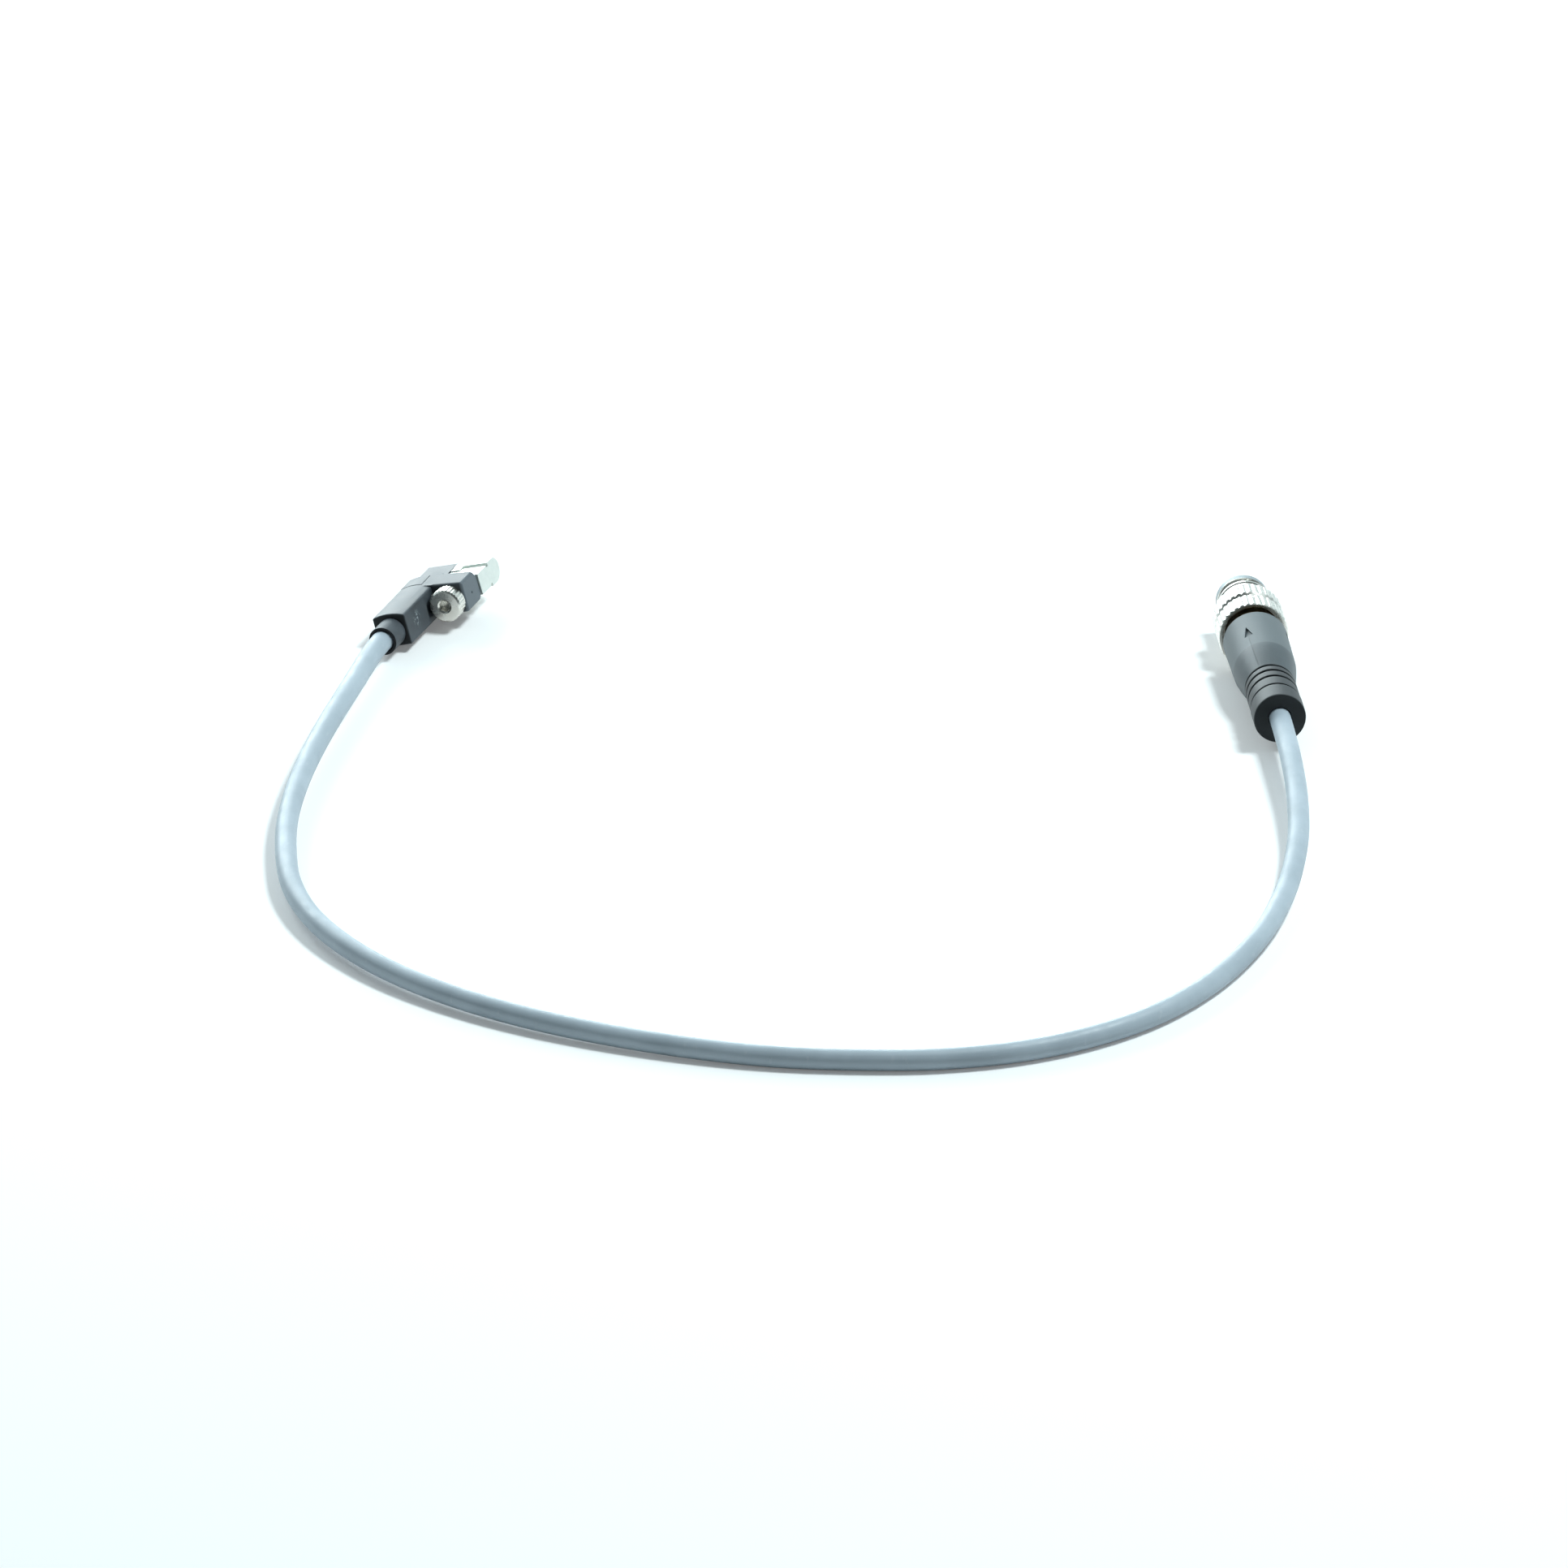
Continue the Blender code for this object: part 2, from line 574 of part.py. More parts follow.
def chip(name, size, middle_x, start_y, head, material):
    """A small component standing on the board."""
    half = size[0] / 2
    made = box(name, (middle_x - half, start_y, BOARD_TOP + SEAT),
               (middle_x + half, start_y + size[1], BOARD_TOP + SEAT + size[2]), head, material)
    soften(made, CHIP_EDGE, 1)
    return made


def make_electronics(head, board_green, chip_black, led_clear, ceramic):
    """Circuit board with the bridge chip in the tongue's nose and the switching stage behind."""
    right = BOARD_LEFT + BOARD_NARROW_WIDTH
    plan = [(BOARD_LEFT, BOARD_START), (-BOARD_LEFT, BOARD_START), (-BOARD_LEFT, BOARD_STEP),
            (right, BOARD_STEP), (right, BOARD_END), (BOARD_LEFT, BOARD_END)]
    prism("circuit_board", plan, BOARD_THICKNESS, head, board_green, location=(0, 0, -BOARD_DROP))
    narrow_middle = BOARD_LEFT + BOARD_NARROW_WIDTH / 2
    chip("bridge_chip", BRIDGE_CHIP_SIZE, narrow_middle,
         BOARD_END - CHIP_SPACING - BRIDGE_CHIP_SIZE[1], head, chip_black)
    led_start = CAP_FRONT + CAP_WALL
    chip("status_led", LED_SIZE, narrow_middle, led_start, head, led_clear)
    switching_start = BOARD_START + SOLDER_TAIL + CHIP_SPACING
    chip("switching_chip", SWITCHING_CHIP_SIZE, 0, switching_start, head, chip_black)
    capacitor_start = switching_start + SWITCHING_CHIP_SIZE[1] + CHIP_SPACING
    chip("filter_capacitor", CAPACITOR_SIZE, 0, capacitor_start, head, ceramic)


def make_head_leads(head, colours):
    """Three leads from the cable's end, through the boot, on to the board."""
    start = -BOOT_LENGTH + BOOT_RECESS + SEAT
    bore_end = REAR_WALL + FIT + BOOT_FLANGE_THICKNESS
    rest = BOARD_TOP + SEAT + LEAD_DIAMETER / 2
    for number, colour in enumerate(("brown", "black", "blue")):
        angle = LEAD_FIRST_ANGLE - math.tau * number / 3
        x = LEAD_CIRCLE_RADIUS * math.cos(angle)
        z = LEAD_CIRCLE_RADIUS * math.sin(angle)
        pad = LEAD_PITCH * (number - 1)
        route = [(x, start, z), (x, bore_end, z), (pad, BOARD_START, rest),
                 (pad, BOARD_START + SOLDER_TAIL, rest)]
        wire("lead_" + colour, smooth_points(route, LEAD_STEP), LEAD_DIAMETER, head, colours[colour], 1)


def plug_profile():
    """Outer side of the moulded plug, from its front rim back to the cable end."""
    points = [(PLUG_FRONT_DIAMETER / 2, PLUG_BODY_LENGTH),
              (SHOULDER_DIAMETER / 2 + SHOULDER_LEDGE, SHOULDER_POSITION)]
    waist = GROOVE_POSITIONS[-1] + GROOVE_WIDTH
    rise = (SHOULDER_DIAMETER - WAIST_DIAMETER) / 2
    for i in range(SHOULDER_STEPS + 1):
        along = i / SHOULDER_STEPS
        radius = WAIST_DIAMETER / 2 + rise * (1 - along ** SHOULDER_FULLNESS)
        points.append((radius, SHOULDER_POSITION - (SHOULDER_POSITION - waist) * along))
    rib = RIB_DIAMETER / 2
    floor = rib - GROOVE_DEPTH
    for position, following in zip(GROOVE_POSITIONS[::-1], GROOVE_POSITIONS[-2::-1]):
        rear = position - GROOVE_WIDTH / 2
        next_front = following + GROOVE_WIDTH / 2
        points += [(floor, rear + GROOVE_WIDTH), (floor, rear), (rib - RIB_CROWN, rear),
                   (rib, (rear + next_front) / 2), (rib - RIB_CROWN, next_front)]
    rear = GROOVE_POSITIONS[0] - GROOVE_WIDTH / 2
    end = PLUG_END_DIAMETER / 2
    points += [(floor, rear + GROOVE_WIDTH), (floor, rear), (end - RIB_CROWN, rear),
               (end, 2 * RIB_CROWN), (end - RIB_CROWN, 0)]
    return points


def make_plug_body(plug, rubber):
    """Moulded grip: ribs at the cable end, a domed shoulder and a barrel up to the nut."""
    inner = [
        (CABLE_DIAMETER / 2 + FIT, 0),
        (CABLE_DIAMETER / 2 + RUNNING, PLUG_RECESS),
        (TUNNEL_DIAMETER / 2, PLUG_RECESS),
        (TUNNEL_DIAMETER / 2, CAVITY_START),
        (CAVITY_DIAMETER / 2, CAVITY_START),
        (CAVITY_DIAMETER / 2, SLEEVE_START - FIT),
        (SLEEVE_DIAMETER / 2 + RUNNING, SLEEVE_START - FIT),
        (SLEEVE_DIAMETER / 2 + RUNNING, PLUG_BODY_LENGTH),
    ]
    body = turned("plug_body", plug_profile() + inner, plug, rubber, closed=True, steps=48)
    radius = SHOULDER_DIAMETER / 2 + SHOULDER_LEDGE
    outline = [(-ARROW_WIDTH / 2, -ARROW_LENGTH / 2), (ARROW_WIDTH / 2, -ARROW_LENGTH / 2),
               (0, ARROW_LENGTH / 2)]
    for angle, position in ARROW_SPOTS:
        place = (radius * math.sin(angle), radius * math.cos(angle), position)
        arrow = prism("arrow_notch", outline, 2 * ARROW_DEPTH, plug, location=place,
                      rotation=(math.radians(90), 0, -angle))
        combine(body, arrow, "DIFFERENCE")
    return body


def make_support_sleeve(plug, brass):
    """Brass sleeve, held in the moulding, on which the nut turns."""
    inner, outer = CARRIER_DIAMETER / 2 + RUNNING, SLEEVE_DIAMETER / 2
    profile = [(inner, SLEEVE_END), (outer, SLEEVE_END), (outer, SLEEVE_START), (inner, SLEEVE_START)]
    return turned("support_sleeve", profile, plug, brass, closed=True, steps=40)


def make_contact_carrier(plug, plastic):
    """Insulating insert that holds the pins; its front flange keeps the nut on."""
    collar = CARRIER_START + CARRIER_COLLAR_LENGTH
    profile = [
        (0, CARRIER_END),
        (CARRIER_FLANGE_DIAMETER / 2, CARRIER_END),
        (CARRIER_FLANGE_DIAMETER / 2, CARRIER_FLANGE_START),
        (CARRIER_DIAMETER / 2, CARRIER_FLANGE_START),
        (CARRIER_DIAMETER / 2, collar),
        (CARRIER_COLLAR_DIAMETER / 2, collar),
        (CARRIER_COLLAR_DIAMETER / 2, CARRIER_START),
        (0, CARRIER_START),
    ]
    carrier = turned("contact_carrier", profile, plug, plastic, steps=32)
    for name, degrees in PIN_ANGLES.items():
        angle = math.radians(degrees)
        place = (PIN_CIRCLE_RADIUS * math.cos(angle), PIN_CIRCLE_RADIUS * math.sin(angle), 0)
        hole = round_bar("pin_hole_" + name, PIN_DIAMETER / 2 + SEAT, CARRIER_START - FIT, CARRIER_END + FIT,
                         plug, segments=16, location=place)
        combine(carrier, hole, "DIFFERENCE")
    edge = CARRIER_FLANGE_DIAMETER / 2
    key = box("key_slot", (-KEY_WIDTH / 2, edge - KEY_DEPTH, CARRIER_FLANGE_START - FIT),
              (KEY_WIDTH / 2, edge + KEY_DEPTH, CARRIER_END + FIT), plug)
    combine(carrier, key, "DIFFERENCE")
    return carrier


def make_contact_pins(plug, gold):
    """Three pins with rounded tips, each with a solder cup behind the carrier."""
    radius = PIN_DIAMETER / 2
    cup = PIN_CUP_DIAMETER / 2
    profile = []
    for i in range(PIN_TIP_STEPS + 1):
        angle = math.pi / 2 * i / PIN_TIP_STEPS
        profile.append((radius * math.sin(angle), PIN_TIP - radius + radius * math.cos(angle)))
    profile += [(radius, PIN_BACK + PIN_CUP_LENGTH), (cup, PIN_BACK + PIN_CUP_LENGTH),
                (cup, PIN_BACK), (0, PIN_BACK)]
    for name, degrees in PIN_ANGLES.items():
        angle = math.radians(degrees)
        place = (PIN_CIRCLE_RADIUS * math.cos(angle), PIN_CIRCLE_RADIUS * math.sin(angle), 0)
        turned("contact_pin_" + name, profile, plug, gold, steps=16, location=place)


def make_plug_leads(plug, colours):
    """Three leads from the cable's end to the solder cups."""
    for name, degrees in PIN_ANGLES.items():
        angle = math.radians(degrees)
        across = Vector((math.cos(angle), math.sin(angle), 0))
        near, far = across * LEAD_CIRCLE_RADIUS, across * PIN_CIRCLE_RADIUS
        ends = [near + Vector((0, 0, PLUG_RECESS + SEAT)), near + Vector((0, 0, CAVITY_START - CHIP_SPACING)),
                far + Vector((0, 0, PIN_BACK - CHIP_SPACING)), far + Vector((0, 0, PIN_BACK - SEAT))]
        colour = LEAD_OF_PIN[name]
        wire("plug_lead_" + colour, ends, LEAD_DIAMETER, plug, colours[colour], 1)


def make_coupling_nut(plug, nickel):
    """Knurled ring and threaded sleeve in one, free to turn on the support sleeve."""
    rear_end = NUT_START + KNURL_RING_LENGTH
    front_start = rear_end + KNURL_GROOVE_LENGTH
    front_end = front_start + KNURL_RING_LENGTH
    tip = NUT_DIAMETER / 2
    root = tip - KNURL_DEPTH
    low = KNURL_GROOVE_DIAMETER / 2
    bevel = KNURL_BEVEL

    def ring(name, start, end, material=None):
        """One band of teeth, bevelled at both ends."""
        levels = [(start, low, low), (start + bevel, root, tip), (end - bevel, root, tip), (end, low, low)]
        return fluted(name, levels, KNURL_TEETH, plug, material)

    nut = ring("coupling_nut", NUT_START, rear_end, nickel)
    combine(nut, ring("front_knurl", front_start, front_end), "UNION")
    thread = THREAD_DIAMETER / 2
    inside = low - FIT
    core = turned("nut_core", [
        (0, NUT_END),
        (thread - NUT_LEAD_IN, NUT_END),
        (thread, NUT_END - NUT_LEAD_IN),
        (thread, front_end - bevel),
        (inside, front_end - bevel),
        (inside, NUT_START + bevel),
        (0, NUT_START + bevel),
    ], plug, steps=40)
    combine(nut, core, "UNION")
    shoulder = SLEEVE_END + FIT
    rear = SLEEVE_DIAMETER / 2 + RUNNING
    middle = CARRIER_DIAMETER / 2 + RUNNING
    front = NUT_FRONT_BORE / 2
    bore = turned("nut_bore", [
        (0, NUT_END + FIT),
        (front, NUT_END + FIT),
        (front, shoulder + NUT_SHOULDER_THICKNESS),
        (middle, shoulder + NUT_SHOULDER_THICKNESS),
        (middle, shoulder),
        (rear, shoulder),
        (rear, NUT_START + NUT_RECESS_DEPTH),
        (NUT_RECESS_DIAMETER / 2, NUT_START + NUT_RECESS_DEPTH),
        (NUT_RECESS_DIAMETER / 2, NUT_START - FIT),
        (0, NUT_START - FIT),
    ], plug, steps=40)
    combine(nut, bore, "DIFFERENCE")
    return nut


def seat_head(head):
    """Set the head down with its lowest edge on the table and its middle over the origin."""
    bpy.context.view_layer.update()
    graph = bpy.context.evaluated_depsgraph_get()
    corners = []
    for piece in head.children:
        if piece.name in PARTS.objects:
            shown = piece.evaluated_get(graph)
            place = shown.matrix_world
            mesh = shown.to_mesh()
            corners += [place @ vertex.co for vertex in mesh.vertices]
            shown.to_mesh_clear()
    low = Vector([min(corner[i] for corner in corners) for i in range(3)])
    high = Vector([max(corner[i] for corner in corners) for i in range(3)])
    head.location -= Vector(((low.x + high.x) / 2, (low.y + high.y) / 2, low.z))
    bpy.context.view_layer.update()


def make_cable(head, plug, jacket):
    """The free cable, from inside the boot's mouth to inside the plug's mouth."""
    head_stop = head.matrix_world @ Vector((0, -BOOT_LENGTH + BOOT_RECESS - CORD_GAP, 0))
    head_mouth = head.matrix_world @ Vector((0, -BOOT_LENGTH - CABLE_DIAMETER, 0))
    plug_mouth = plug.matrix_world @ Vector((0, 0, -CABLE_DIAMETER))
    plug_stop = plug.matrix_world @ Vector((0, 0, PLUG_RECESS - CORD_GAP))
    free = [Vector(point) * MM for point in CABLE_ROUTE]
    points = smooth_points([head_stop, head_mouth, *free, plug_mouth, plug_stop], TUBE_STEP)
    return wire("cable_jacket", points, CABLE_DIAMETER, None, jacket)


def build():
    """Make every piece of the switch."""
    black_plastic = finish("moulded black polyamide", (0.030, 0.033, 0.036), 0.55)
    grey_rubber = finish("moulded dark grey polyurethane", (0.075, 0.082, 0.088), 0.6)
    jacket_grey = finish("grey polyurethane jacket", (0.30, 0.33, 0.36), 0.5)
    steel = finish("stainless steel", (0.62, 0.63, 0.60), 0.3, 1.0)
    nickel = finish("nickel-plated brass", (0.72, 0.71, 0.68), 0.22, 1.0)
    brass = finish("turned brass", (0.70, 0.52, 0.26), 0.3, 1.0)
    gold = finish("gold-plated brass", (0.85, 0.65, 0.30), 0.25, 1.0)
    carrier_black = finish("black contact carrier", (0.02, 0.02, 0.02), 0.5)
    board_green = finish("glass epoxy board", (0.03, 0.16, 0.07), 0.5)
    chip_black = finish("epoxy chip package", (0.02, 0.02, 0.022), 0.45)
    led_clear = finish("yellow LED lens", (0.85, 0.60, 0.10), 0.2)
    ceramic = finish("ceramic capacitor", (0.45, 0.33, 0.22), 0.5)
    lead_colours = {
        "brown": finish("brown lead", (0.16, 0.07, 0.03), 0.5),
        "black": finish("black lead", (0.02, 0.02, 0.02), 0.5),
        "blue": finish("blue lead", (0.04, 0.12, 0.40), 0.5),
    }

    head = bpy.data.objects.new("head_frame", None)
    plug = bpy.data.objects.new("plug_frame", None)
    for frame in (head, plug):
        bpy.context.scene.collection.objects.link(frame)
    head.rotation_euler = (0, -HEAD_ROLL, 0)
    plug.location = (*PLUG_END, PLUG_AXIS_HEIGHT)
    plug.rotation_euler = (math.radians(90), 0, PLUG_HEADING + math.radians(90))

    make_main_housing(head, black_plastic)
    make_sensor_cap(head, black_plastic)
    make_cable_boot(head, grey_rubber)
    make_clamp_bar(head, steel)
    make_clamp_screw(head, nickel)
    make_electronics(head, board_green, chip_black, led_clear, ceramic)
    make_head_leads(head, lead_colours)
    seat_head(head)

    make_plug_body(plug, grey_rubber)
    make_support_sleeve(plug, brass)
    make_contact_carrier(plug, carrier_black)
    make_contact_pins(plug, gold)
    make_plug_leads(plug, lead_colours)
    make_coupling_nut(plug, nickel)
    bpy.context.view_layer.update()
    make_cable(head, plug, jacket_grey)


clear_scene()
PARTS = collection("magnetoresistive_proximity_switch")
TOOLS = collection("cutting_tools")
build()
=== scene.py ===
# %% [markdown]
# # Dressing a slot-mounted magnetic switch
#
# The object is a magnetoresistive proximity switch. A small black head slides into the slot of an air
# cylinder, a short grey cable leaves it, and a moulded plug with a knurled nut ends the cable. The packed
# CAD model gives every place and size. This file gives the pieces that show a finer shape, and every
# piece the finish that the real one has.
#
# The frame comes first, because all that follows is set against it.

# %% Load the frame
import json
import math

import bmesh
import bpy
from mathutils import Matrix, Vector


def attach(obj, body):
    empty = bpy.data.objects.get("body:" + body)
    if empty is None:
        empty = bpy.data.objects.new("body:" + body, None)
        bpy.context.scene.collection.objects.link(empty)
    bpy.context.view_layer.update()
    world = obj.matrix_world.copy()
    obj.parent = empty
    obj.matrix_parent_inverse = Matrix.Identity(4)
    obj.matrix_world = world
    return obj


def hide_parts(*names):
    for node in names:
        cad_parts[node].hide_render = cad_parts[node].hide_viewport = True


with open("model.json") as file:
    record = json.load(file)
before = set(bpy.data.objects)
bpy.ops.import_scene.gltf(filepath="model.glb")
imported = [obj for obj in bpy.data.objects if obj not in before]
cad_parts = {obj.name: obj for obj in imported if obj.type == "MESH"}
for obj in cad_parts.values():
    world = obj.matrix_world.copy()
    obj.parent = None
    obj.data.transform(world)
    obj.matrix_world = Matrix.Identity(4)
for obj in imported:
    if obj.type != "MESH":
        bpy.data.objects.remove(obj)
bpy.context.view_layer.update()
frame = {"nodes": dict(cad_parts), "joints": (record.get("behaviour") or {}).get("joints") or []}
MM = 0.001

# %% [markdown]
# ## Camera
#
# The photograph was taken from a little behind and beside the cable's loop, looking 23 degrees down. The
# lens is long, so the head and the plug, which lie 140 mm apart, have nearly the same scale. The camera
# is placed from the point that the middle of the picture shows, on the table.

# %% Place the camera
LOOKS_AT = Vector((69.3, -37.74, 0)) * MM
AZIMUTH = math.radians(20.37)
ELEVATION = math.radians(23)
DISTANCE = 10.0
PICTURE_WIDTH = 0.230

back = Vector((math.sin(AZIMUTH) * math.cos(ELEVATION), -math.cos(AZIMUTH) * math.cos(ELEVATION),
               math.sin(ELEVATION)))
camera_data = bpy.data.cameras.new("camera")
camera_data.sensor_width = 36
camera_data.lens = camera_data.sensor_width * DISTANCE / PICTURE_WIDTH
camera_data.clip_end = 5 * DISTANCE
camera = bpy.data.objects.new("camera", camera_data)
bpy.context.scene.collection.objects.link(camera)
camera.location = LOOKS_AT + back * DISTANCE
camera.rotation_euler = back.to_track_quat("Z", "Y").to_euler()
bpy.context.scene.camera = camera
print("Lens in mm:", round(camera_data.lens, 1))

# %% [markdown]
# ## Two frames to model in
#
# The head lies rolled over by 16.2 degrees, and the plug lies at its own angle on the table. Modelling
# tilted pieces with plain operators is awkward, so each piece is made upright, in millimetres, in the
# frame of the head or the plug, and its finished mesh is then moved to its place. The head's Y axis runs
# from the cable to the tongue, and the plug's Z axis from the cable to the thread. The two frames are
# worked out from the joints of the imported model: the clamp screw's axis and the coupling nut's axis.

# %% Work out the frames
EAR_FRONT, SCREW_X, SCREW_Z = 11.3, 5.0, -0.25
HEAD_ROLL = math.radians(-16.2)
NUT_START = 31.3

joints = {joint["name"]: joint for joint in frame["joints"]}
head_turn = Matrix.Rotation(HEAD_ROLL, 4, "Y")
screw_seat = Vector(joints["clamp_screw_turn"]["pos_m"])
head_origin = screw_seat - head_turn @ Vector((SCREW_X, EAR_FRONT, SCREW_Z)) * MM
HEAD = Matrix.Translation(head_origin) @ head_turn

plug_axis = Vector(joints["coupling_nut_spin"]["axis"]).normalized()
plug_left = Vector((0, 0, 1)).cross(plug_axis)
plug_origin = Vector(joints["coupling_nut_spin"]["pos_m"]) - plug_axis * NUT_START * MM
PLUG = Matrix.Translation(plug_origin) @ Matrix((plug_left, (0, 0, 1), plug_axis)).transposed().to_4x4()
ALONG_Y = Matrix.Rotation(math.radians(-90), 4, "X")
SCREW_AXIS = HEAD @ Matrix.Translation(Vector((SCREW_X, 0, SCREW_Z)) * MM) @ ALONG_Y
print("Head frame at", [round(v / MM, 2) for v in head_origin], "plug frame at",
      [round(v / MM, 2) for v in plug_origin])

# %% [markdown]
# ## Cable
#
# The cable is a round polyurethane jacket over three leads, 3.2 mm thick, extruded in one length. It
# leaves the boot straight, lies down on the table in one wide bow and rises to the plug's axis, which
# the nut holds 5 mm above the table. A curve with a round bevel is the natural way to make it, because
# the route can be read and changed point by point. The points are those of the CAD model's cable, and a
# smooth curve goes through all of them.

# %% Lay the cable
CABLE_DIAMETER = 3.18
CABLE_ROUTE = [
    (-0.7, -33.0, 2.8), (1.4, -50.0, 2.7), (4.2, -66.3, 2.6), (7.7, -80.5, 2.5), (11.9, -92.4, 2.45),
    (17.0, -103.5, 2.4), (23.8, -113.3, 2.3), (32.2, -121.4, 2.2), (42.0, -128.0, 2.1),
    (53.5, -133.1, 2.0), (65.8, -136.4, 1.9), (78.4, -138.0, 1.8), (91.8, -138.2, 1.7),
    (104.6, -136.8, 1.6), (116.6, -133.6, 1.6), (127.6, -129.2, 1.6), (137.6, -122.4, 1.6),
    (145.6, -113.4, 1.6), (151.6, -102.0, 1.6), (155.0, -87.5, 1.6), (155.6, -71.0, 1.7),
    (153.6, -54.2, 2.1), (149.9, -39.0, 3.0), (145.4, -26.6, 4.1), (140.2, -14.9, 5.0),
]
BOOT_LENGTH, BOOT_RECESS, PLUG_RECESS, CABLE_GAP = 4.0, 1.9, 2.8, 0.3
CURVE_STEP = 2.4 * MM


def through(points, step):
    """Points a step apart on a smooth curve that goes through the given ones."""
    places = [2 * points[0] - points[1], *points, 2 * points[-1] - points[-2]]
    found = [points[0]]
    for a, b, c, d in zip(places, places[1:], places[2:], places[3:]):
        pieces = max(1, round((c - b).length / step))
        for i in range(1, pieces + 1):
            t = i / pieces
            found.append(0.5 * (2 * b + (c - a) * t + (2 * a - 5 * b + 4 * c - d) * t ** 2
                                + (3 * b - a - 3 * c + d) * t ** 3))
    return found


cable_ends = [
    HEAD @ (Vector((0, BOOT_RECESS - CABLE_GAP - BOOT_LENGTH, 0)) * MM),
    HEAD @ (Vector((0, -BOOT_LENGTH - CABLE_DIAMETER, 0)) * MM),
    PLUG @ (Vector((0, 0, -CABLE_DIAMETER)) * MM),
    PLUG @ (Vector((0, 0, PLUG_RECESS - CABLE_GAP)) * MM),
]
line = through([*cable_ends[:2], *[Vector(p) * MM for p in CABLE_ROUTE], *cable_ends[2:]], CURVE_STEP)
cable_curve = bpy.data.curves.new("cable", "CURVE")
cable_curve.dimensions = "3D"
cable_curve.bevel_depth = CABLE_DIAMETER / 2 * MM
cable_curve.bevel_resolution = 6
cable_curve.use_fill_caps = True
spline = cable_curve.splines.new("POLY")
spline.points.add(len(line) - 1)
for point, place in zip(spline.points, line):
    point.co = (*place, 1)
spline.use_smooth = True
cable = bpy.data.objects.new("cable", cable_curve)
bpy.context.scene.collection.objects.link(cable)

# %% [markdown]
# ## A few hand tools
#
# Every rigid piece is made with the same few moves: add a primitive, select by place, draw out, cut. The
# helpers below name those moves. Everything is deselected before a primitive is added, and the place of
# a primitive goes into its mesh at once, so the piece itself stays at the origin.

# %% Define the moves
SHARP_DEGREES = 32
SAME_PLACE = 0.0005


def alone(piece):
    """Select one piece and make it active."""
    bpy.ops.object.select_all(action="DESELECT")
    piece.select_set(True)
    bpy.context.view_layer.objects.active = piece


def keep(name):
    """Name the primitive that was just added and put its place into its mesh."""
    piece = bpy.context.object
    piece.name = name
    piece.data.name = name
    alone(piece)
    bpy.ops.object.transform_apply(location=True, rotation=True, scale=True)
    return piece


def block(name, low, high):
    """A box between two corners."""
    low, high = Vector(low), Vector(high)
    bpy.ops.object.select_all(action="DESELECT")
    bpy.ops.mesh.primitive_cube_add(size=1, location=(low + high) / 2, scale=high - low)
    return keep(name)


def rod(name, radius, start, end, steps=64, end_radius=None, centre=(0, 0), upright=False):
    """A round rod or cone along Y from start to end, or along Z where it stands upright."""
    bpy.ops.object.select_all(action="DESELECT")
    middle = (start + end) / 2
    bpy.ops.mesh.primitive_cone_add(
        vertices=steps, radius1=radius, radius2=radius if end_radius is None else end_radius,
        depth=end - start, location=(*centre, middle) if upright else (centre[0], middle, centre[1]),
        rotation=(0, 0, 0) if upright else (math.radians(-90), 0, 0))
    return keep(name)


def pick(piece, test, kind="verts"):
    """In edit mode, select the points or faces that pass a test, and nothing else."""
    bpy.ops.mesh.select_mode(type="VERT" if kind == "verts" else "FACE")
    bpy.ops.mesh.select_all(action="DESELECT")
    shape = bmesh.from_edit_mesh(piece.data)
    for item in getattr(shape, kind):
        if test(item.co if kind == "verts" else item.calc_center_median()):
            item.select_set(True)
    shape.select_flush(True)
    bmesh.update_edit_mesh(piece.data)


def draw_out(move, scale=(1, 1, 1)):
    """Extrude what is selected, move it and scale it about the axis."""
    bpy.ops.mesh.extrude_region_move(TRANSFORM_OT_translate={"value": move})
    if scale != (1, 1, 1):
        bpy.ops.transform.resize(value=scale, center_override=(0, 0, 0))


def slice_off(piece, point, normal):
    """Cut a piece by a plane, throw away the side that the normal points to, and close the cut."""
    alone(piece)
    bpy.ops.object.mode_set(mode="EDIT")
    bpy.ops.mesh.select_all(action="SELECT")
    bpy.ops.mesh.bisect(plane_co=point, plane_no=normal, use_fill=True, clear_outer=True)
    bpy.ops.object.mode_set(mode="OBJECT")


def work(piece, kind, **settings):
    """Put one modifier on a piece and apply it."""
    alone(piece)
    step = piece.modifiers.new("step", kind)
    for key, value in settings.items():
        setattr(step, key, value)
    bpy.ops.object.modifier_apply(modifier=step.name)


def cut(piece, tool, operation="DIFFERENCE"):
    """Cut a tool out of a piece, join it on or keep what they share, and remove the tool."""
    work(piece, "BOOLEAN", object=tool, operation=operation, solver="EXACT")
    bpy.data.objects.remove(tool, do_unlink=True)


def soften(piece, width, segments=3):
    """Round the sharp edges."""
    work(piece, "BEVEL", width=width, segments=segments, limit_method="ANGLE",
         angle_limit=math.radians(SHARP_DEGREES), use_clamp_overlap=True)


def face_outwards(piece):
    """Merge doubled points and point all faces outwards."""
    alone(piece)
    bpy.ops.object.mode_set(mode="EDIT")
    bpy.ops.mesh.select_all(action="SELECT")
    bpy.ops.mesh.remove_doubles(threshold=SAME_PLACE)
    bpy.ops.mesh.normals_make_consistent(inside=False)
    bpy.ops.object.mode_set(mode="OBJECT")


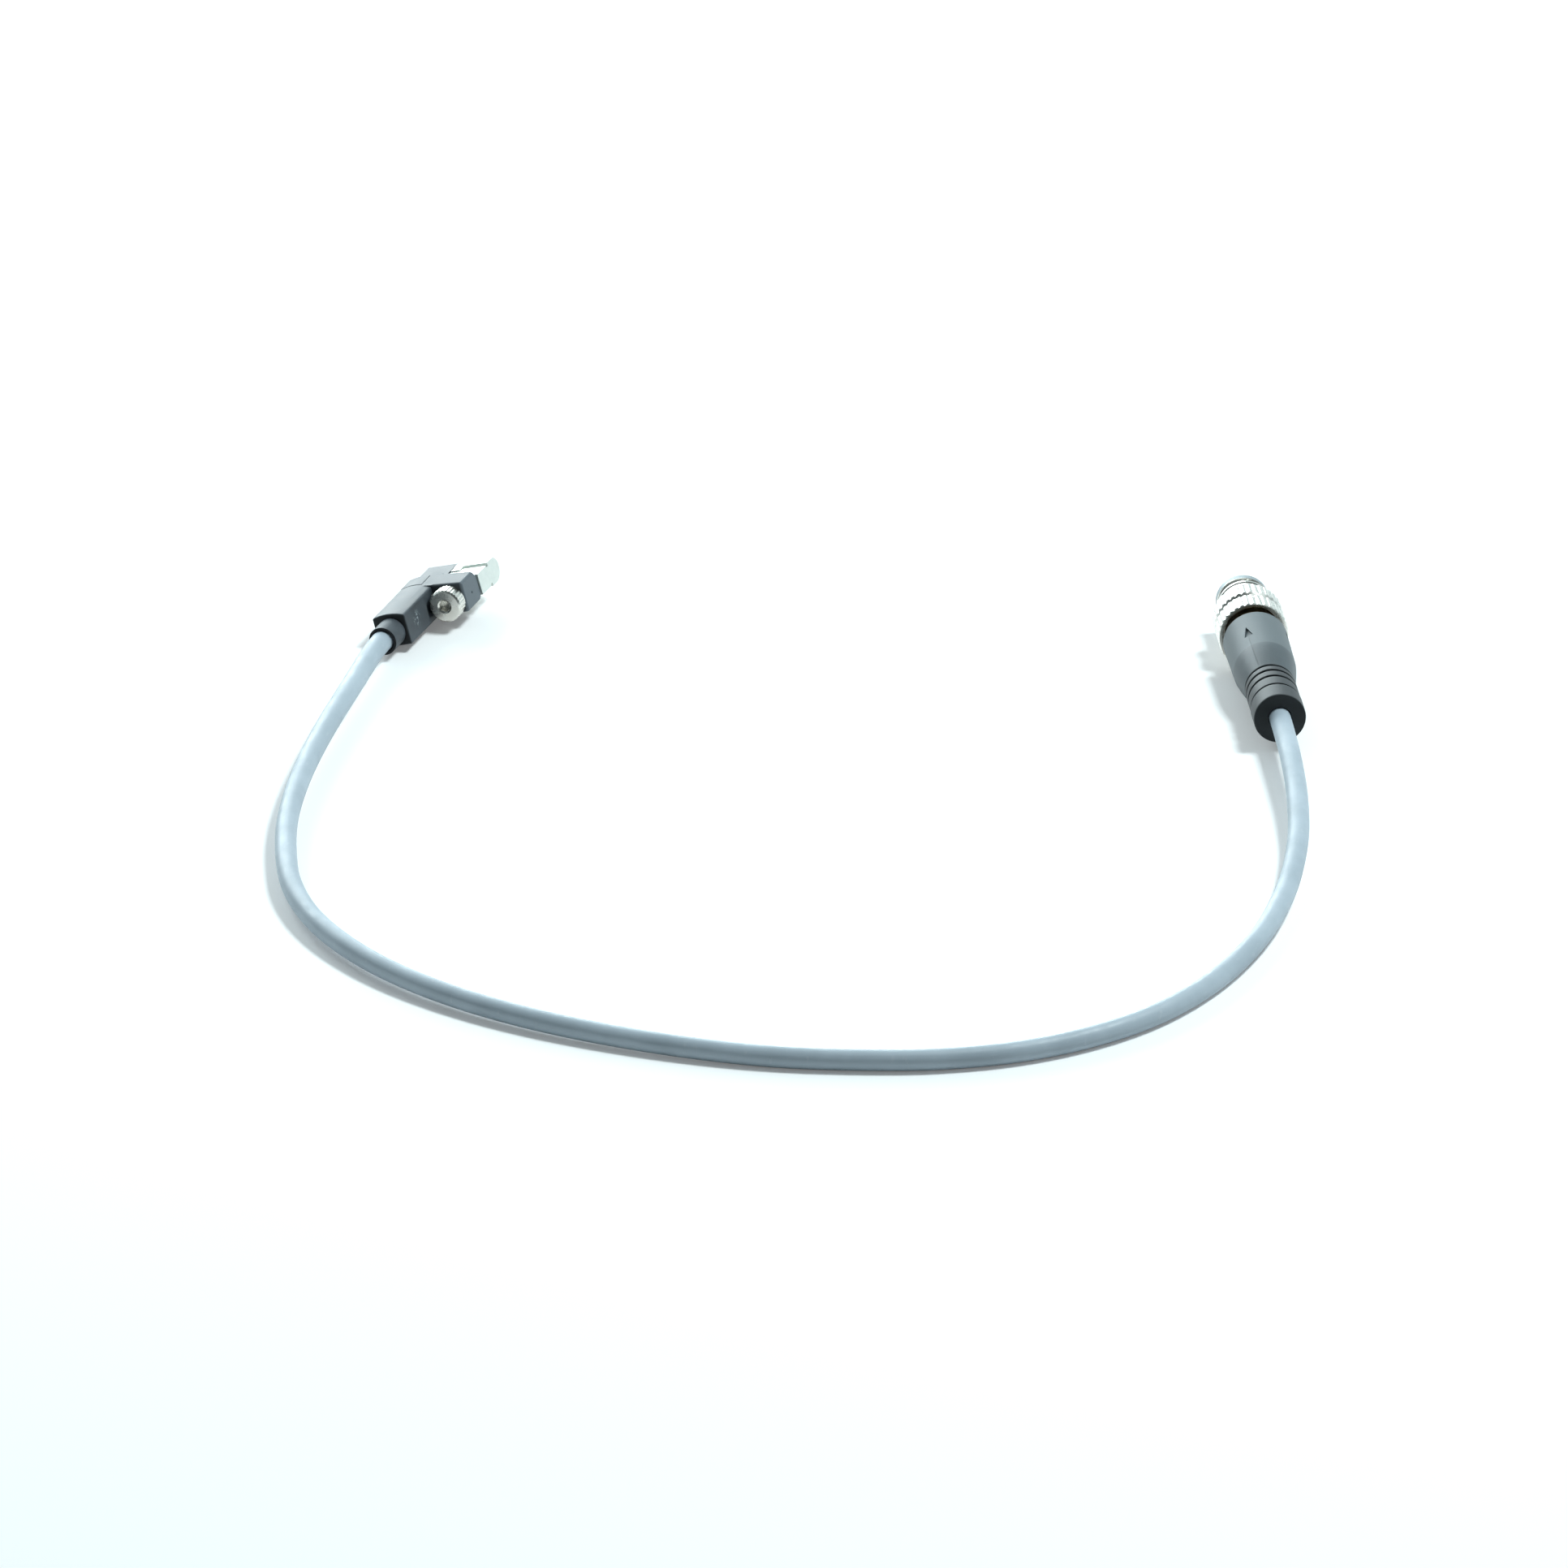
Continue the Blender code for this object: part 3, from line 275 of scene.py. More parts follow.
def settle(piece, place, body, node, sharp=SHARP_DEGREES):
    """Shade a finished piece, move its mesh to its place, attach it to its body and hide the CAD piece that
    it stands for.
    """
    alone(piece)
    bpy.ops.object.shade_smooth_by_angle(angle=math.radians(sharp))
    work(piece, "WEIGHTED_NORMAL", mode="FACE_AREA", weight=50, keep_sharp=True)
    piece.data.transform(place @ Matrix.Scale(MM, 4))
    piece.data.update()
    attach(piece, body)
    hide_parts(node)
    print(piece.name, "faces:", len(piece.data.polygons))


# %% [markdown]
# ## Main housing
#
# The housing is an injection moulding in black polyamide: a slim body with a slightly crowned top, and an
# ear on its right that carries the clamp screw. Body, ear and the web between them are boxes, so they are
# modelled from cubes. The body is cut into strips, so that its top can be raised in the middle. The ear
# reaches further towards the clamp bar, which bears on it, than the web does, and slopes back above and
# below. The edges are rounded as a mould rounds them before the three are joined, and the bores and the
# hollow are cut last, because a bevel on a cut edge would wander. The fine pit in the ear's outer face is
# the mark where the plastic entered the mould.

# %% Model the main housing
HALF_WIDTH, HALF_HEIGHT, BODY_END = 2.62, 2.35, 12.0
EAR_BACK, EAR_END, EAR_SIDE = 16.1, 16.95, 7.55
EAR_ABOVE, EAR_BELOW, EAR_SLOPE = 1.55, 1.45, 1.1
SPLIT, JOINT, BAR_LEFT, BAR_RIGHT, TONGUE_Z = 0.88, 0.04, 2.35, 7.7, -0.25
EDGE, JOINT_EDGE, EAR_EDGE, SLIVER = 0.24, 0.05, 0.4, 0.01
CROWN, EAR_RISE, STRIP_WIDTH = 0.42, 0.41, 0.7
HOLLOW_SIDE, HOLLOW_HEIGHT, HOLLOW_START, HOLLOW_END = 1.57, 1.5, 1.2, BODY_END + 0.85
SPLIT_WALL, POCKET_END = 0.3, 10.55
BOOT_BORE, BOOT_BORE_START, BOOT_BORE_END = 1.3, -1.2, 2.4
SCREW_BORE, SCREW_BORE_START, SCREW_BORE_END = 1.1, 6.5, EAR_BACK + 1.7
SCALLOP_START, SCALLOP_RADIUS, SCALLOP_MOUTH = 8.0, 2.625, 2.925
GATE_HALF, GATE_DEPTH, GATE_Y = 0.15, 0.2, 14.0


def strips(piece):
    """Cut a piece into strips along its length."""
    alone(piece)
    bpy.ops.object.mode_set(mode="EDIT")
    for i in range(-3, 4):
        bpy.ops.mesh.select_all(action="SELECT")
        bpy.ops.mesh.bisect(plane_co=(STRIP_WIDTH * i, 0, 0), plane_no=(1, 0, 0))
    bpy.ops.object.mode_set(mode="OBJECT")


def raise_top(piece, rise, edge):
    """Lift the top of a piece, with its rounded edge, by a height that depends on the place across it."""
    for vertex in piece.data.vertices:
        if vertex.co.z > HALF_HEIGHT - edge - SLIVER:
            vertex.co.z += rise(vertex.co.x)


def crown(x):
    """Height of the crowned top over its edges."""
    return CROWN * max(0, 1 - (x / HALF_WIDTH) ** 2)


housing = block("housing_moulding", (-HALF_WIDTH, 0, -HALF_HEIGHT), (HALF_WIDTH, BODY_END, HALF_HEIGHT))
strips(housing)
soften(housing, EDGE)
raise_top(housing, crown, EDGE)
ear = block("ear", (BAR_LEFT, EAR_FRONT, -HALF_HEIGHT), (EAR_SIDE, EAR_END, HALF_HEIGHT))
for side, reach in ((1, EAR_ABOVE), (-1, EAR_BELOW)):
    slice_off(ear, (0, EAR_END, TONGUE_Z + side * reach), Vector((0, EAR_SLOPE, side)).normalized())
soften(ear, EAR_EDGE)
web = block("web", (SPLIT + JOINT, EAR_FRONT + SLIVER, -HALF_HEIGHT + SLIVER),
            (BAR_LEFT + 0.5, EAR_BACK, HALF_HEIGHT - SLIVER))
soften(web, JOINT_EDGE)
cut(ear, web, "UNION")
raise_top(ear, lambda x: EAR_RISE * (EAR_SIDE - x) / EAR_SIDE, EAR_EDGE)
cut(housing, ear, "UNION")
hollow = block("hollow", (-HOLLOW_SIDE, HOLLOW_START, -HOLLOW_HEIGHT),
               (SPLIT - SPLIT_WALL, HOLLOW_END, HOLLOW_HEIGHT))
cut(hollow, block("pocket", (-HOLLOW_SIDE, HOLLOW_START, -HOLLOW_HEIGHT),
                  (HOLLOW_SIDE, POCKET_END, HOLLOW_HEIGHT)), "UNION")
cut(housing, hollow)
cut(housing, rod("boot_bore", BOOT_BORE, BOOT_BORE_START, BOOT_BORE_END))
cut(housing, rod("screw_bore", SCREW_BORE, SCREW_BORE_START, SCREW_BORE_END, centre=(SCREW_X, SCREW_Z)))
cut(housing, rod("screw_scallop", SCALLOP_RADIUS, SCALLOP_START, EAR_FRONT, steps=96,
                 end_radius=SCALLOP_MOUTH, centre=(SCREW_X, SCREW_Z)))
cut(housing, block("gate_mark", (EAR_SIDE - GATE_DEPTH, GATE_Y - GATE_HALF, SCREW_Z - GATE_HALF),
                   (EAR_SIDE + GATE_DEPTH, GATE_Y + GATE_HALF, SCREW_Z + GATE_HALF)))
settle(housing, HEAD, "switch", "main_housing")

# %% [markdown]
# ## Slot tongue
#
# The tongue is what holds the switch: a narrow neck passes the mouth of the cylinder's slot, and a
# round, thicker head sits behind its lips. Its left half is plastic and belongs to the sensor cap, since
# the magnetic sensor has to sit close to the piston's magnet. Its right half is the metal clamp bar. Both
# are drawn out in the same way, so one function draws the end face of a block out along the section. The
# bar has a shallow relief under its head, the plastic half has none, and both have a round nose.

# %% Define the tongue
BAR_FRONT, LIP_LINE, TONGUE_DEPTH = 17.1, 21.2, 7.8
RELIEF_LENGTH, RELIEF_DEPTH = 0.7, 0.32
NOSE_STEP = 12
FINE_EDGE = 0.12


def tongue(name, left, right, start, end, neck, thickness, nose_length):
    """A length of the tongue between two sides, drawn out from start to end."""
    nose = end - nose_length
    piece = block(name, (left, start, -neck / 2), (right, LIP_LINE - RELIEF_LENGTH, neck / 2))
    bpy.ops.object.mode_set(mode="EDIT")
    pick(piece, lambda c: c.y > LIP_LINE - RELIEF_LENGTH - SLIVER, "faces")
    if thickness > neck:
        relieved = neck - 2 * RELIEF_DEPTH
        draw_out((0, RELIEF_LENGTH / 2, 0), (1, 1, relieved / neck))
        draw_out((0, RELIEF_LENGTH / 2, 0))
        draw_out((0, 0, 0), (1, 1, thickness / relieved))
        draw_out((0, nose - LIP_LINE, 0))
    else:
        draw_out((0, nose - LIP_LINE + RELIEF_LENGTH, 0))
    height = 1.0
    for degrees in range(NOSE_STEP, 90, NOSE_STEP):
        sine, cosine = math.sin(math.radians(degrees)), math.cos(math.radians(degrees))
        reached = math.sin(math.radians(degrees - NOSE_STEP))
        draw_out((0, nose_length * (sine - reached), 0), (1, 1, cosine / height))
        height = cosine
    bpy.ops.object.mode_set(mode="OBJECT")
    piece.data.transform(Matrix.Translation((0, 0, TONGUE_Z)))
    face_outwards(piece)
    return piece


print("Tongue's head beyond the slot's lips in mm:", round(BAR_FRONT + TONGUE_DEPTH - LIP_LINE, 2))

# %% [markdown]
# ## Sensor cap
#
# The cap closes the left half of the housing's end and carries the plastic half of the tongue. It is a
# second moulding, pressed into the housing with two thin lips. It is a box with the tongue joined on, so
# it is made from those two, and the edges of the box are rounded before the tongue goes on, as on the
# real one, where the tongue's root is sharp. A narrower block joins the two, so that a fine groove stays
# between them, and the room for the board is cut out last.

# %% Model the sensor cap
CAP_FRONT, CAP_TONGUE_END = BODY_END + JOINT, BAR_FRONT + TONGUE_DEPTH - 0.9
CAP_LEFT, CAP_RIGHT = -HALF_WIDTH + 0.02, BAR_LEFT - 0.15
CAP_THICKNESS, CAP_NOSE = 3.6, 1.2
CHAMFER_DEPTH, CHAMFER_DROP = 0.45, 0.75
ROOT_GROOVE, ROOT_REACH, ROOT_HALF = 0.15, 0.3, 1.3
LIP_OUTER, LIP_INNER, LIP_LEFT, LIP_RIGHT = 1.4, 1.1, -1.47, SPLIT - 0.4
LIP_REACH, LIP_ROOT = 1.3, 0.72
ROOM_LEFT, ROOM_RIGHT, ROOM_HALF = -1.62, 0.18, 0.83
ROOM_FRONT, ROOM_END = CAP_FRONT - 2.6, CAP_TONGUE_END - 1.35

cap = block("cap_moulding", (-HALF_WIDTH, CAP_FRONT, -HALF_HEIGHT), (SPLIT, EAR_BACK, HALF_HEIGHT))
strips(cap)
slice_off(cap, (0, EAR_BACK, HALF_HEIGHT - CHAMFER_DROP),
          Vector((0, CHAMFER_DROP, CHAMFER_DEPTH)).normalized())
soften(cap, JOINT_EDGE)
raise_top(cap, crown, JOINT_EDGE)
black_tongue = tongue("black_tongue", CAP_LEFT, CAP_RIGHT, EAR_BACK + ROOT_GROOVE, CAP_TONGUE_END,
                      CAP_THICKNESS, CAP_THICKNESS, CAP_NOSE)
soften(black_tongue, FINE_EDGE, 2)
cut(cap, black_tongue, "UNION")
cut(cap, block("tongue_root", (CAP_LEFT, EAR_BACK - ROOT_REACH, TONGUE_Z - ROOT_HALF),
               (SPLIT, EAR_BACK + ROOT_REACH, TONGUE_Z + ROOT_HALF)), "UNION")
for side in (1, -1):
    low, high = sorted((side * LIP_OUTER, side * LIP_INNER))
    cut(cap, block("lip", (LIP_LEFT, CAP_FRONT - LIP_REACH, low), (LIP_RIGHT, CAP_FRONT + LIP_ROOT, high)),
        "UNION")
cut(cap, block("room", (ROOM_LEFT, ROOM_FRONT, TONGUE_Z - ROOM_HALF),
               (ROOM_RIGHT, ROOM_END, TONGUE_Z + ROOM_HALF)))
settle(cap, HEAD, "switch", "sensor_cap")

# %% [markdown]
# ## Clamp bar
#
# The bar is the metal half of the tongue. The screw draws it back towards the ear, and its head grips the
# slot's lips from behind. It is pressed and sintered from steel powder and has a thicker shoulder on its
# left, next to the plastic half. The shoulder is a plain block that is joined to the drawn section
# after both are rounded.

# %% Model the clamp bar
BAR_NECK, BAR_HEAD, BAR_NOSE = 3.3, 3.75, 2.0
BAR_SHOULDER_HALF, TAPPED_FROM, TAPPED_TO = 1.84, BAR_FRONT - 0.85, BAR_FRONT + 6.3

bar = tongue("clamp_bar_sintering", BAR_LEFT, BAR_RIGHT, BAR_FRONT, BAR_FRONT + TONGUE_DEPTH, BAR_NECK,
             BAR_HEAD, BAR_NOSE)
soften(bar, FINE_EDGE, 2)
shoulder = block("shoulder", (BAR_LEFT + 0.02, LIP_LINE - 1.6, TONGUE_Z - BAR_SHOULDER_HALF),
                 (BAR_LEFT + 1.5, LIP_LINE + 1.0, TONGUE_Z + BAR_SHOULDER_HALF))
soften(shoulder, FINE_EDGE, 2)
cut(bar, shoulder, "UNION")
cut(bar, rod("tapped_hole", SCREW_BORE, TAPPED_FROM, TAPPED_TO, centre=(SCREW_X, SCREW_Z)))
settle(bar, HEAD, "bar", "clamp_bar")

# %% [markdown]
# ## Cable boot
#
# The boot is a short polyurethane sleeve where the cable enters the head. It is turned in one go: a
# circle is drawn out to each point of the section in turn, up the inside and down the outside, and the
# last ring is joined to the first. The same lathe makes the plug's body, the nut's core and bore, and
# the blanks that the knurled and threaded pieces are trimmed to.

# %% Define the lathe and model the boot
BOOT_SECTION = [
    (0.95, 2.05), (0.95, -2.1), (1.69, -2.1), (1.74, -4.0), (2.15, -4.0), (2.15, -0.05), (1.25, -0.05),
    (1.25, 1.35), (1.39, 1.35), (1.39, 2.05),
]


def lathe(name, section, steps=96, closed=False):
    """Turn a section of (radius, height) points round Z; an open one is capped at both ends."""
    bpy.ops.object.select_all(action="DESELECT")
    bpy.ops.mesh.primitive_circle_add(vertices=steps, radius=section[0][0], location=(0, 0, section[0][1]))
    piece = keep(name)
    bpy.ops.object.mode_set(mode="EDIT")
    bpy.ops.mesh.select_mode(type="VERT")
    bpy.ops.mesh.select_all(action="SELECT")
    if closed:
        section = [*section, section[0]]
    for (radius, height), (next_radius, next_height) in zip(section, section[1:]):
        ratio = next_radius / radius
        draw_out((0, 0, next_height - height), (ratio, ratio, 1))
    if not closed:
        bpy.ops.mesh.edge_face_add()
        shape = bmesh.from_edit_mesh(piece.data)
        bpy.ops.mesh.select_all(action="DESELECT")
        shape.verts.ensure_lookup_table()
        for vertex in shape.verts[:steps]:
            vertex.select_set(True)
        shape.select_flush(True)
        bmesh.update_edit_mesh(piece.data)
        bpy.ops.mesh.edge_face_add()
    bpy.ops.object.mode_set(mode="OBJECT")
    face_outwards(piece)
    return piece


boot = lathe("boot_moulding", BOOT_SECTION, closed=True)
soften(boot, FINE_EDGE)
settle(boot, HEAD @ ALONG_Y, "switch", "cable_boot")

# %% [markdown]
# ## Knurls and threads
#
# The clamp screw and the coupling nut are both knurled, so that fingers can turn them, and then turned,
# which bevels the ends of the teeth. The model goes the same way: a circle whose points are pushed in
# between the teeth is drawn out to a toothed bar, and the bar is trimmed to a lathe-made blank. A screw
# thread is one row of teeth in section that the Screw modifier carries round and up by one pitch. That
# leaves a step at each end, which is closed and then cut away when the rod is trimmed in the same way.
# Tooth heights run from 0 at the root to 1 at the tip, and root and crest end at parts of the pitch.

# %% Define the knurl and the thread
TOOTH_HEIGHTS = (1.0, 0.86, 0.25, 0.0, 0.25, 0.86)
ROOT_TO, CREST_FROM, CREST_TO = 0.2, 0.42, 0.78


def knurled_bar(name, teeth, tip, root, start, end):
    """A bar with straight, rounded teeth all along it, to be trimmed to its blank."""
    steps = len(TOOTH_HEIGHTS) * teeth
    bpy.ops.object.select_all(action="DESELECT")
    bpy.ops.mesh.primitive_circle_add(vertices=steps, radius=tip, location=(0, 0, start))
    piece = keep(name)
    bpy.ops.object.mode_set(mode="EDIT")
    for height in sorted(set(TOOTH_HEIGHTS) - {1.0}):
        pick(piece, lambda c: TOOTH_HEIGHTS[round(math.atan2(c.y, c.x) / math.tau * steps)
                                            % len(TOOTH_HEIGHTS)] == height)
        ratio = (root + (tip - root) * height) / tip
        bpy.ops.transform.resize(value=(ratio, ratio, 1), center_override=(0, 0, 0))
    bpy.ops.mesh.select_all(action="SELECT")
    draw_out((0, 0, end - start))
    bpy.ops.mesh.edge_face_add()
    pick(piece, lambda c: abs(c.z - start) < SAME_PLACE)
    bpy.ops.mesh.edge_face_add()
    bpy.ops.object.mode_set(mode="OBJECT")
    face_outwards(piece)
    return piece


def threaded_rod(name, radius, depth, pitch, start, end, steps):
    """A rod with a right-hand metric thread, longer at both ends than asked, to be trimmed."""
    bpy.ops.object.select_all(action="DESELECT")
    bpy.ops.mesh.primitive_plane_add(size=1, location=(0, 0, start - 2 * pitch))
    piece = keep(name)
    bpy.ops.object.mode_set(mode="EDIT")
    bpy.ops.mesh.select_all(action="SELECT")
    bpy.ops.mesh.merge(type="CENTER")
    turns = math.ceil((end - start) / pitch) + 3
    root = radius - depth
    x, z = 0, 0
    for turn in range(turns):
        for out, up in ((root, 0), (root, ROOT_TO), (radius, CREST_FROM), (radius, CREST_TO)):
            up = (turn + up) * pitch
            draw_out((out - x, 0, up - z))
            x, z = out, up
    draw_out((root - x, 0, turns * pitch - z))
    draw_out((-root, 0, 0))
    bpy.ops.object.mode_set(mode="OBJECT")
    work(piece, "SCREW", axis="Z", angle=math.tau, screw_offset=pitch, steps=steps, render_steps=steps)
    bpy.ops.object.mode_set(mode="EDIT")
    bpy.ops.mesh.select_all(action="SELECT")
    bpy.ops.mesh.remove_doubles(threshold=SAME_PLACE)
    bpy.ops.mesh.fill_holes(sides=0)
    bpy.ops.object.mode_set(mode="OBJECT")
    face_outwards(piece)
    return piece


print("Points round each tooth:", len(TOOTH_HEIGHTS))

# %% [markdown]
# ## Clamp screw
#
# The screw has a knurled head for the fingers and a hexagon socket for a 1.5 mm key. Its shank is an M2
# thread that reaches through the ear into the bar. The head is a knurled bar with turned bevels, the
# socket is a six-sided rod cut out of it, and a shallow cone breaks the socket's edge, which is what
# catches the light in the photograph.

# %% Model the clamp screw
HEAD_SEAT = EAR_FRONT - 0.15
HEAD_FACE = HEAD_SEAT - 2.2
HEAD_TEETH, HEAD_TIP, HEAD_ROOT, HEAD_BLANK = 30, 2.525, 2.45, 2.54
M2_THREAD, SHANK_BLANK, SHANK_END = (1.0, 0.16, 0.4), 1.01, HEAD_SEAT + 10.9
SOCKET_DEPTH, SOCKET_CORNER = 1.6, 0.924

screw = knurled_bar("screw_turning", HEAD_TEETH, HEAD_TIP, HEAD_ROOT, HEAD_FACE - 0.1, HEAD_SEAT + 0.1)
cut(screw, lathe("head_blank", [(HEAD_BLANK - 0.3, HEAD_FACE), (HEAD_BLANK, HEAD_FACE + 0.26),
                                (HEAD_BLANK, HEAD_SEAT - 0.1), (HEAD_BLANK - 0.1, HEAD_SEAT)]), "INTERSECT")
shank = threaded_rod("screw_thread", *M2_THREAD, HEAD_SEAT, SHANK_END, 24)
cut(shank, lathe("shank_blank", [(SHANK_BLANK, HEAD_SEAT - 0.65), (SHANK_BLANK, SHANK_END - 0.3),
                                 (0.7, SHANK_END)], 48), "INTERSECT")
cut(screw, shank, "UNION")
cut(screw, rod("socket", SOCKET_CORNER, HEAD_FACE - SOCKET_DEPTH, HEAD_FACE + SOCKET_DEPTH, 6, upright=True))
cut(screw, rod("socket_edge", 1.2, HEAD_FACE - 0.1, HEAD_FACE + 0.2, 48, end_radius=0.85, upright=True))
settle(screw, SCREW_AXIS, "screw", "clamp_screw")

# %% [markdown]
# ## Plug body
#
# The plug's grip is moulded on to the cable in one shot of dark polyurethane. At the cable end it has a
# plain collar and three ribs, so that it bends there a little with the cable. A domed shoulder follows,
# then a barrel up to the nut. Its section is turned on the lathe with many points in the dome, and the
# sharp edges are rounded. The two halves of the mould leave a fine seam. It is cut with a thin block
# from which a slightly smaller dome has been taken, so that the groove is equally deep all along. Two
# arrow marks are cut in too, and show where the plug's key is.

# %% Model the plug body
RIB, COLLAR, WAIST, SHOULDER, BARREL = 3.8, 3.875, 3.75, 4.65, 4.8
DOME_START, SHOULDER_AT, PLUG_LENGTH = 11.77, 18.15, 29.2
DOME_STEPS, DOME_POWER, PLUG_STEPS = 22, 1.25, 120
GROOVES, GROOVE_HALF, GROOVE_FLOOR = (4.25, 7.35, 9.5, 11.35), 0.29, 3.3
SLEEVE_BORE, SLEEVE_SEAT, CARRIER_BORE, CARRIER_SEAT = 4.1, 25.25, 3.7, 15.2
SEAM_ANGLE, SEAM_DEPTH, SEAM_WIDTH = math.radians(25), 0.08, 0.12
SEAM_START, SEAM_END, SEAM_INNER, SEAM_OUTER = DOME_START + 0.6, 21.6, 3, 6
ARROWS, ARROW_AT, ARROW_SCALE, ARROW_DEPTH = ((25, 22.6), (-68, 26.6)), 4.77, (0.8, 2.1, 1), 0.9

section = [(1.74, 0), (COLLAR - 0.06, 0), (COLLAR, 0.2)]
tops = (COLLAR, RIB, RIB, RIB, WAIST)
for groove, before, after in zip(GROOVES, tops, tops[1:]):
    section += [(before, groove - GROOVE_HALF), (GROOVE_FLOOR, groove - GROOVE_HALF),
                (GROOVE_FLOOR, groove + GROOVE_HALF), (after, groove + GROOVE_HALF)]
for i in range(1, DOME_STEPS + 1):
    rest = 1 - i / DOME_STEPS
    section.append((WAIST + (SHOULDER - WAIST) * (1 - rest ** DOME_POWER),
                    DOME_START + (SHOULDER_AT - DOME_START) * i / DOME_STEPS))
section += [(BARREL - 0.01, PLUG_LENGTH - 0.4), (BARREL, PLUG_LENGTH), (SLEEVE_BORE, PLUG_LENGTH),
            (SLEEVE_BORE, SLEEVE_SEAT), (CARRIER_BORE, SLEEVE_SEAT), (CARRIER_BORE, CARRIER_SEAT),
            (1.5, CARRIER_SEAT), (1.5, PLUG_RECESS), (1.69, PLUG_RECESS)]
grip = lathe("plug_moulding", section, PLUG_STEPS, closed=True)
soften(grip, 0.15, 2)
inside = [(radius - SEAM_DEPTH, height) for radius, height in section
          if DOME_START < height < PLUG_LENGTH and radius > WAIST]
seam = block("mould_seam", (-SEAM_WIDTH / 2, SEAM_INNER, SEAM_START), (SEAM_WIDTH / 2, SEAM_OUTER, SEAM_END))
cut(seam, lathe("seam_floor", inside, PLUG_STEPS))
seam.data.transform(Matrix.Rotation(-SEAM_ANGLE, 4, "Z"))
cut(grip, seam)
for degrees, height in ARROWS:
    angle = math.radians(degrees)
    bpy.ops.object.select_all(action="DESELECT")
    bpy.ops.mesh.primitive_cylinder_add(
        vertices=3, radius=1, depth=ARROW_DEPTH, scale=ARROW_SCALE, rotation=(math.radians(90), 0, -angle),
        location=(ARROW_AT * math.sin(angle), ARROW_AT * math.cos(angle), height))
    cut(grip, keep("arrow"))
settle(grip, PLUG, "switch", "plug_body")

# %% [markdown]
# ## Coupling nut
#
# The nut is turned from brass and nickel plated. Two knurled bands with a V-shaped groove between them
# are for the fingers, and an M8 thread with a pitch of 1 mm screws into the socket. The bands are one
# knurled bar, trimmed to a blank with the groove in it. A core and a threaded front are joined on, and the
# stepped bore is cut out last. The rim in front of the thread is plain, which helps the first turn to
# catch.

# %% Model the coupling nut
NUT_TEETH, NUT_TIP, NUT_ROOT, NUT_BLANK = 36, 5.25, 5.09, 5.27
V_MIDDLE, V_HALF, V_FLAT, V_FLOOR = 35.25, 0.65, 0.08, NUT_TIP - 0.55
THREAD_START, THREAD_END, NUT_END = 39.0, 43.9, 45.5
M8_THREAD, THREAD_BLANK = (3.975, 0.42, 1.0), 3.99
CORE, CORE_INSET, THREAD_CORE, RIM = 4.6, 0.6, 3.52, 3.92
BORE_SECTION = [
    (4.6, NUT_START - 0.2), (4.6, NUT_START + 1.5), (4.1, NUT_START + 1.5), (4.1, 34.15), (3.05, 34.15),
    (3.05, 35.75), (3.3, 35.75), (3.3, NUT_END + 0.2),
]

nut = knurled_bar("nut_turning", NUT_TEETH, NUT_TIP, NUT_ROOT, NUT_START - 0.2, THREAD_START + 0.2)
cut(nut, lathe("nut_blank", [
    (NUT_TIP - 0.2, NUT_START), (NUT_BLANK, NUT_START + 0.22), (NUT_BLANK, V_MIDDLE - V_HALF),
    (V_FLOOR, V_MIDDLE - V_FLAT), (V_FLOOR, V_MIDDLE + V_FLAT), (NUT_BLANK, V_MIDDLE + V_HALF),
    (NUT_BLANK, THREAD_START - 0.32), (NUT_TIP - 0.3, THREAD_START)], 144), "INTERSECT")
sleeve = threaded_rod("nut_thread", *M8_THREAD, THREAD_START, THREAD_END, 64)
cut(sleeve, lathe("sleeve_blank", [
    (3.3, THREAD_START - 0.5), (THREAD_BLANK, THREAD_START - 0.5), (THREAD_BLANK, THREAD_END - 0.4),
    (3.56, THREAD_END)]), "INTERSECT")
core = lathe("nut_core", [
    (CORE, NUT_START + CORE_INSET), (CORE, THREAD_START - CORE_INSET),
    (THREAD_CORE, THREAD_START - CORE_INSET), (THREAD_CORE, THREAD_END + 0.1), (RIM, THREAD_END + 0.25),
    (RIM, NUT_END - 0.22), (3.7, NUT_END)])
cut(nut, core, "UNION")
cut(nut, sleeve, "UNION")
cut(nut, lathe("nut_bore", BORE_SECTION))
settle(nut, PLUG, "nut", "coupling_nut", 36)

# %% [markdown]
# ## Materials
#
# Each finish starts from what the real surface is. A small set of patterns is enough: soft spots that
# vary a colour, fine grain that gives a moulded surface its dull sheen, and lathe marks that run round a
# turned piece. Sizes are given in millimetres and turned into the scale that a texture node wants.

# %% Define colours, nodes and patterns
def linear(hex_colour):
    """An sRGB hex colour as the linear values that a shader takes."""
    parts = [int(hex_colour[i:i + 2], 16) / 255 for i in (1, 3, 5)]
    return [v / 12.92 if v <= 0.04045 else ((v + 0.055) / 1.055) ** 2.4 for v in parts] + [1.0]


def node(tree, kind, inputs=None, **settings):
    """Add one shader node with its settings, and give or link each of its inputs."""
    made = tree.nodes.new("ShaderNode" + kind)
    for key, value in settings.items():
        setattr(made, key, value)
    for key, value in (inputs or {}).items():
        if isinstance(value, bpy.types.NodeSocket):
            tree.links.new(value, made.inputs[key])
        else:
            made.inputs[key].default_value = value
    return made


def shader_of(made):
    """The node tree of a material, and its shader."""
    return made.node_tree, made.node_tree.nodes["Principled BSDF"]


def surface(name, hex_colour, roughness, metallic=0.0, ior=1.5):
    """A new material; its plain values are set on the shader's own sockets."""
    made = bpy.data.materials.new(name)
    made.use_nodes = True
    tree, shader = shader_of(made)
    shader.inputs["Base Color"].default_value = linear(hex_colour)
    shader.inputs["Roughness"].default_value = roughness
    shader.inputs["Metallic"].default_value = metallic
    shader.inputs["IOR"].default_value = ior
    return made, tree, shader


